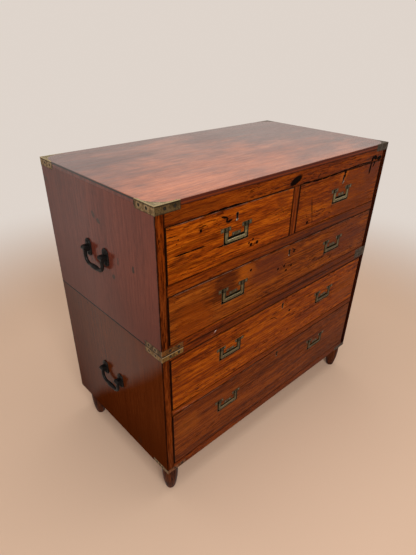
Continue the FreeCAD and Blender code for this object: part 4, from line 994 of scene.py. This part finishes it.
# %% A stand-in for a brass fitting
def fitting(node, materials, limits=()):
    """A stand-in for a fitting of loose pieces. A piece gets a later material the shorter it is than the
    limits, and each corner keeps its drop: how far it is below the top of its piece."""
    points, triangles = merged(node)
    low, high = island_boxes(points, islands(triangles, len(points)))
    length = (high - low).max(1)[triangles[:, 0]]
    kinds = np.zeros(len(length), int)
    for limit in limits:
        kinds += length < limit
    piece = stand_in(node, points, triangles, materials, kinds)
    drop = piece.data.attributes.new("drop", "FLOAT", "POINT")
    drop.data.foreach_set("value", high[:, 2] - points[:, 2])
    return kinds


def drop_of(place):
    """How far a place is below the top of its loose piece."""
    return place.node("Attribute", {"attribute_name": "drop"}, (), 2)


print("fittings to dress:", sum(node.endswith(("_brass", "_straps")) for node in NODES))

# %% [markdown]
# The corner straps are handled but never polished. Dirt lies along their edges and round their screws, which
# show as dark dots, and a band of painted shade lies just under the top. The arris at the corner is rubbed
# bright, worn and with a painted highlight, and the web on top is painted paler as a highlight. A row of
# straps has a tint for its front legs and one for its side legs, painting the light and shade that falls on
# each face at that height. These tints only multiply the brass, so its speckles stay. The straps on the
# right are painted darker, as shade.

# %% Rows and colours of the corner straps
STRAP_LENGTH = 0.066
STRAP_SCREWS = (0.026, 0.052)
SEAM_DIRT = 0.0013
BRASS_WEAR_AND_HIGHLIGHT = rgb(0.62, 0.50, 0.28)
HALO_BRASS = rgb(0.42, 0.29, 0.15)
UNLIT_BRASS = rgb(0.038, 0.022, 0.009)
WEB_HIGHLIGHT = rgb(1.45, 1.75, 2.10)
GRIME_AND_SHADE = rgb(0.012, 0.008, 0.005)
# middle and half of a strap's height, and the tints of painted light and shade on its front and side legs
STRAP_ROWS = [
    (TOP_FACE - 0.0105, 0.0105, rgb(0.50, 0.43, 0.41), rgb(1.30, 1.15, 1.27)),
    (SEAM + 0.00875, 0.00875, rgb(0.81, 0.42, 0.15), rgb(0.52, 0.41, 0.38)),
    (SEAM - 0.00825, 0.00825, rgb(0.92, 0.64, 0.30), rgb(1.00, 0.81, 0.70)),
    (BASE + 0.0075, 0.0075, rgb(0.78, 0.34, 0.16), rgb(0.80, 0.60, 0.40)),
]
print(len(STRAP_ROWS), "rows of straps with", len(STRAP_SCREWS), "screws in a leg")

# %% [markdown]
# Ten straps have twenty legs, and they could have as many materials. Here they share one: the case is folded
# onto a single corner, so that a place is known by its distances to the side, the front and the top, and
# each mark is worked out once.

# %% Wear of the corner straps
def strap_wear(place, colour):
    """Tints each row with painted light and shade on its front and side legs, and adds grime along the rims,
    round the screws and at the seam, a band of painted shade under the top, bright worn arrises with a
    painted highlight, and a paler web on top, a painted highlight. The straps on the right are painted
    darker, as shade. The fold is the distance from x and y without their signs to the case's faces."""
    x, y, z = split(place)
    across = (x.size() - abs(LEFT_FACE)).size()
    deep = (y.size() - abs(FRONT_FACE)).size()
    leg = across.most(deep)
    under = TOP_FACE - z
    front = deep.step(0.0008, 0.0004)
    rings, rims = [], []
    for middle, half, front_tint, side_tint in STRAP_ROWS:
        row = (z - middle).size()
        inside = row.step(half + 0.0006, half + 0.0002)
        # each row's tints paint the light and shade on its front and its side legs
        colour = mix(inside, colour, mix(front, side_tint, front_tint), "MULTIPLY")
        rims.append(inside * row.most(leg - (STRAP_LENGTH - half)).step(half - 0.0022, half - 0.0004))
        for spot in STRAP_SCREWS:
            away = leg - spot
            rings.append(place.maths("SQRT", away * away + row * row))
    ring = functools.reduce(Socket.least, rings)
    colour = mix(ring.step(0.0095, 0.0055) * (1.0 - front) * 0.5, colour, HALO_BRASS)
    grime_and_shade = functools.reduce(Socket.most, rims) * under.step(0.0006, 0.0016) * 0.75
    grime_and_shade = grime_and_shade.most(ring.step(0.0048, 0.0030)).most((z - SEAM).size().step(SEAM_DIRT + 0.0006, SEAM_DIRT))
    # a band of painted shade just under the top
    grime_and_shade = grime_and_shade.most(under.step(0.0016, 0.0022) * under.step(0.0052, 0.0036) * 0.8)
    colour = mix(grime_and_shade * 0.95, colour, GRIME_AND_SHADE)
    # the web on top is painted paler, as a highlight
    colour = mix(under.step(0.0005, 0.0002), colour, WEB_HIGHLIGHT, "MULTIPLY")
    # the corner arris and a lip under the seam: wear and a painted highlight
    rubbed_and_lit = across.least(deep).most(under).step(0.0018, 0.0008)
    lip = (SEAM - z - SEAM_DIRT - 0.0012).size().step(0.0012, 0.0006) * front * 0.75
    rubbed_and_lit = rubbed_and_lit.most(lip).most(leg.step(0.0016, 0.0008) * 0.2)
    colour = mix(rubbed_and_lit * 0.85, colour, BRASS_WEAR_AND_HIGHLIGHT)
    return mix(x.step(0.0, 0.35) * 0.9, colour, UNLIT_BRASS)


print("dirt at the seam is", round(SEAM_DIRT * 1000, 1), "mm wide on each strap")

# %% [markdown]
# Brass goes olive brown, speckled with darker tarnish. Two noises make that: large patches between bright
# and dull, and fine dark flecks, which are also dents. The channel behind a pull is dark with dirt and
# painted shade, so the colour turns dark with depth. The wear of a single kind of fitting is handed over as
# a function.

# %% Old metal
DARKENED_BRASS = rgb(0.075, 0.046, 0.016)
LINER_DARK = rgb(0.030, 0.022, 0.014)
CHANNEL_DIRT_AND_SHADE = rgb(0.004, 0.003, 0.002)
METAL_RELIEF = 0.0003


def liner_wear(place, colour):
    """A keyhole liner is black but for its lower end, which keys have worn."""
    return mix(drop_of(place).step(0.0170, 0.0150), colour, LINER_DARK)


def pull_darkening(place):
    """How much darker and browner a pull is painted: more on the lower drawers, and towards the right as
    painted shade, where less light reaches.
    """
    x, _, z = split(place)
    return z.step(0.76, 0.55) * 0.70 + x.step(-0.1, 0.35) * 0.25


def metal(name, tones, seed, metallic, rough, wear=None, depth=None, gloss=0.5):
    """Old metal: one noise mixes its bright and dull tones, and another adds dark flecks. wear is a function
    that adds a fitting's own marks. depth holds the two places in y between which the colour turns dark,
    dirt and painted shade in the hollow; with depth the metal is also darker lower down and, as painted
    shade, towards the right."""
    material, place = start_material(name)
    bright, dull, dark = tones
    tarnish = noise(place, even(90.0), seed, 4.0, 0.65).step(0.36, 0.62)
    fleck = noise(place, even(420.0), seed + 3.0, 3.0, 0.6).step(0.50, 0.66)
    colour = mix(fleck * 0.7, mix(tarnish, bright, dull), dark)
    roughness = rough + tarnish * 0.2 + fleck * 0.15
    if wear:
        colour = wear(place, colour)
    if depth:
        # darker lower down and to the right, there as painted shade; dark with dirt and painted shade in the
        # hollow
        colour = mix(pull_darkening(place), colour, DARKENED_BRASS)
        hidden = split(place)[1].step(*depth)
        colour = mix(hidden, colour, CHANNEL_DIRT_AND_SHADE)
        roughness = roughness + hidden * 0.4
    constants = {"Metallic": metallic, "Specular IOR Level": gloss}
    end_material(place, (colour, roughness, fleck * -0.5 + tarnish * -0.5), METAL_RELIEF, constants)
    return material


print("relief of old metal:", METAL_RELIEF * 1000, "mm")

# %% [markdown]
# The plates of the pulls are darker than the straps, because they lie in a hollow where no cloth reaches.
# Their screws are pale and those of the straps are black, so a fitting takes its screws by its name.

# %% Finish the brass fittings
BRASS = (rgb(0.30, 0.215, 0.085), rgb(0.13, 0.095, 0.038), rgb(0.035, 0.027, 0.013))
PULL_BRASS = (rgb(0.125, 0.090, 0.036), rgb(0.052, 0.038, 0.016), rgb(0.016, 0.012, 0.006))
PULL_SCREW = (rgb(0.25, 0.215, 0.155), rgb(0.12, 0.105, 0.072), rgb(0.04, 0.032, 0.022))
LINER = (rgb(0.62, 0.58, 0.50), rgb(0.10, 0.085, 0.06), rgb(0.03, 0.025, 0.02))
BLACK_SCREW = rgb(0.020, 0.015, 0.009)
SCREW_LENGTH, LINER_LENGTH = 0.014, 0.030
PLATE_DEPTH = (FRONT_FACE + 0.0006, FRONT_FACE + 0.0018)
LINER_DEPTH = (FRONT_FACE + 0.0004, FRONT_FACE + 0.0012)

strap_brass = metal("strap_brass", BRASS, 3.0, 0.9, 0.38, strap_wear)
plate_brass = metal("plate_brass", PULL_BRASS, 5.0, 0.9, 0.42, depth=PLATE_DEPTH)
dark_screws = metal("strap_screws", [BLACK_SCREW] * 3, 7.0, 0.5, 0.6)
pale_screws = metal("pull_screws", PULL_SCREW, 8.0, 0.8, 0.45)
liner_brass = metal("liner_brass", LINER, 9.0, 0.8, 0.4, liner_wear, LINER_DEPTH)
for node in [name for name in NODES if name.endswith(("_brass", "_straps"))]:
    of_strap = node.endswith("_straps")
    plate, screws = (strap_brass, dark_screws) if of_strap else (plate_brass, pale_screws)
    kinds = fitting(node, [plate, liner_brass, screws], [LINER_LENGTH, SCREW_LENGTH])
    print(node, "has", int((kinds == 2).sum()), "screw triangles")

# %% [markdown]
# Where a face of a bail looks up, above all on the upper edge of the bar, a painted highlight brightens it,
# less so on the darker pulls. The parts sunk in the channel are dark with dirt and painted shade. The Normal
# output of Texture Coordinate tells which way a face looks, and drop tells the bar from the part that the
# ears cover, which is painted a darker brass, with a line of grime and painted shade at their edge.
# Pointiness finds bright edges too, but here the mesh has too few corners for it.

# %% Finish the bails
BAIL = (rgb(0.27, 0.215, 0.10), rgb(0.12, 0.100, 0.046), rgb(0.035, 0.030, 0.016))
BAIL_DIRT_AND_SHADE = rgb(0.012, 0.009, 0.005)
EAR_HEIGHT = 0.0095

material, place = start_material("bail_brass")
tarnish = noise(place, even(110.0), 13.0, 4.0, 0.65).step(0.35, 0.65)
fleck = noise(place, even(500.0), 17.0, 3.0, 0.6).step(0.50, 0.68)
facing = Socket(place.tree, place.output.node.outputs["Normal"])
upward = split(facing)[2].step(0.3, 0.8)
depth = split(place)[1].step(FRONT_FACE + 0.0004, FRONT_FACE + 0.002)
colour = mix(fleck * 0.6, mix(tarnish, BAIL[0], BAIL[1]), BAIL[2])
# parts sunk behind the face: dirt and painted shade
colour = mix(depth * 0.8, colour, BAIL_DIRT_AND_SHADE)
darkening = pull_darkening(place)
colour = mix(darkening, colour, DARKENED_BRASS)
# faces that look up get a painted highlight
colour = mix(upward * (1.0 - depth) * (1.0 - darkening), colour, BRASS_WEAR_AND_HIGHLIGHT)
drop = drop_of(place)
covered = drop.step(EAR_HEIGHT, EAR_HEIGHT - 0.001)
colour = mix(covered * 0.9, colour, mix(tarnish, PULL_BRASS[1], PULL_BRASS[2]))
# a dark line at the ears' edge: grime and painted shade
colour = mix((drop - EAR_HEIGHT).size().step(0.0016, 0.0006) * 0.85, colour, GRIME_AND_SHADE)
end_material(place, (colour, 0.34 + tarnish * 0.2, fleck * -0.5), METAL_RELIEF, {"Metallic": 0.9})
BAILS = [name for name in NODES if "_bail" in name]
for node in BAILS:
    fitting(node, [material])
print(len(BAILS), "bails")

# %% [markdown]
# The carrying handles are black iron with a little rust in its pores, and the bolts of the locks are steel.
# Both are the same old metal with other tones, so two lines are enough.

# %% Finish the handles and the bolts
IRON = (rgb(0.011, 0.010, 0.009), rgb(0.005, 0.005, 0.005), rgb(0.014, 0.005, 0.002))
STEEL = (rgb(0.35, 0.34, 0.32), rgb(0.14, 0.12, 0.10), rgb(0.06, 0.04, 0.03))
iron = metal("black_iron", IRON, 21.0, 0.1, 0.33, gloss=0.13)
steel = metal("steel", STEEL, 23.0, 1.0, 0.35)
for node in NODES:
    if "handle" in node or "roses" in node:
        dress(node, iron)
    elif node.endswith("_bolt"):
        dress(node, steel)
print(sum("handle" in node for node in NODES), "handles")

# %% [markdown]
# ## A plain studio
#
# The floor is a disc that curves up into a wall all round, as in a studio's cove, so that no line shows
# where they meet. A profile turned about the upright axis gives that shape in one go, as a lathe does.
# The Spin tool would too, but here the corners are one array, worked out at once.

# %% Shape of the cove
COVE_RADIUS = 6.0
COVE_BEND = 2.0
COVE_HEIGHT = 4.5
COVE_CENTRE = (0.0001, 0.0)


def lathe(name, profile, turns):
    """Turns a profile of (radius, height) about the z axis: point (i, j) is profile j at angle i."""
    count = len(profile)
    angles = np.linspace(0.0, 2.0 * math.pi, turns, endpoint=False)
    radius, height = np.asarray(profile, float).T
    points = np.stack([
        np.outer(np.cos(angles), radius),
        np.outer(np.sin(angles), radius),
        np.broadcast_to(height, (turns, count)),
    ], axis=-1).reshape(-1, 3)
    i, j = np.meshgrid(np.arange(turns), np.arange(count - 1), indexing="ij")
    after = (i + 1) % turns
    faces = np.stack([i * count + j, after * count + j, after * count + j + 1, i * count + j + 1], axis=-1)
    mesh = bpy.data.meshes.new(name)
    mesh.from_pydata(points.tolist(), [], faces.reshape(-1, 4).tolist())
    mesh.shade_smooth()
    made = bpy.data.objects.new(name, mesh)
    bpy.context.scene.collection.objects.link(made)
    return made


flat = COVE_RADIUS - COVE_BEND
bend = [(flat + COVE_BEND * math.sin(angle), COVE_BEND * (1 - math.cos(angle)))
        for angle in np.linspace(0.0, math.pi / 2, 16)]
cove = lathe("cove", [COVE_CENTRE] + bend + [(COVE_RADIUS, COVE_HEIGHT)], 96)
print("the cove has", len(cove.data.polygons), "faces")

# %% [markdown]
# Near the chest the cove is a plain pale floor that takes its shadow. Further out it turns into a pale
# backdrop of its own brightness, for the camera and for reflections, so that glossy wood and brass have
# something pale to mirror. More lamps on the wall would brighten it too, but they would bleach the chest.

# %% Material of the cove
FLOOR_COLOUR = rgb(0.66, 0.47, 0.34)
BACKDROP_COLOUR = rgb(0.735, 0.66, 0.60)
FLOOR_ENDS = (1.0, 2.4)
MIRRORED_FLOOR = 0.6

material, place = start_material("cove")
x, y, _ = split(place)
far = x.maths("SQRT", x * x + y * y).step(*FLOOR_ENDS)
rays = place.node("LightPath").output.node.outputs
mirrored = Socket(place.tree, rays["Is Glossy Ray"]) * (MIRRORED_FLOOR + far * (1.0 - MIRRORED_FLOOR))
shown = far * Socket(place.tree, rays["Is Camera Ray"]) + mirrored
cloth = place.node("BsdfPrincipled", (), {
    "Base Color": FLOOR_COLOUR, "Roughness": 0.9, "Specular IOR Level": 0.1,
})
glow = place.node("Emission", (), {"Color": BACKDROP_COLOUR, "Strength": 1.0})
mixed = place.node("MixShader", (), {0: shown, 1: cloth, 2: glow})
mixed.node("OutputMaterial", (), {"Surface": mixed})
cove.data.materials.append(material)
print("the floor turns into the backdrop between", FLOOR_ENDS[0], "and", FLOOR_ENDS[1], "m")

# %% [markdown]
# The light comes from two lamps, a key at the front left and a weaker one overhead. Spot lamps would draw
# hard shadows on the floor. These are large square area lamps, because a large lamp gives soft ones.

# %% Lamps
def softbox(name, spot, size, power, tilt=0.0, turn=0.0):
    """A square area lamp at a spot. It shines down, tilted from there and turned about the z axis."""
    data = bpy.data.lights.new(name, "AREA")
    data.size = size
    data.energy = power
    lamp = bpy.data.objects.new(name, data)
    lamp.location = spot
    lamp.rotation_euler = (math.radians(tilt), 0.0, math.radians(turn))
    bpy.context.scene.collection.objects.link(lamp)


softbox("key", (-1.8, -2.9, 2.9), 2.0, 118.0, 55.0, -31.0)
softbox("overhead", (0.2, 0.0, 3.6), 2.5, 48.0)
print("lamps:", {lamp.name: lamp.energy for lamp in bpy.data.lights})

# %% [markdown]
# The sky fills the shadows with an even light. The camera sees it only over the rim of the cove, in low
# views from far off. There it has the colour of the backdrop, so that the rim doesn't show.

# %% Sky
SKY_COLOUR = rgb(0.9, 0.88, 0.85)
SKY_STRENGTH = 0.4

world = bpy.data.worlds.new("sky")
bpy.context.scene.world = world
world.use_nodes = True
world.node_tree.nodes.clear()
rays = Socket(world.node_tree, world.node_tree.nodes.new("ShaderNodeLightPath").outputs["Is Camera Ray"])
sky_light = rays.node("Background", (), {"Color": SKY_COLOUR, "Strength": SKY_STRENGTH})
sky_shown = rays.node("Background", (), {"Color": BACKDROP_COLOUR, "Strength": 1.0})
sky = rays.node("MixShader", (), {0: rays, 1: sky_light, 2: sky_shown})
sky.node("OutputWorld", (), {"Surface": sky})
bpy.context.scene.view_settings.view_transform = "Standard"
print("the sky's nodes:", [node.bl_label for node in world.node_tree.nodes])

# %% [markdown]
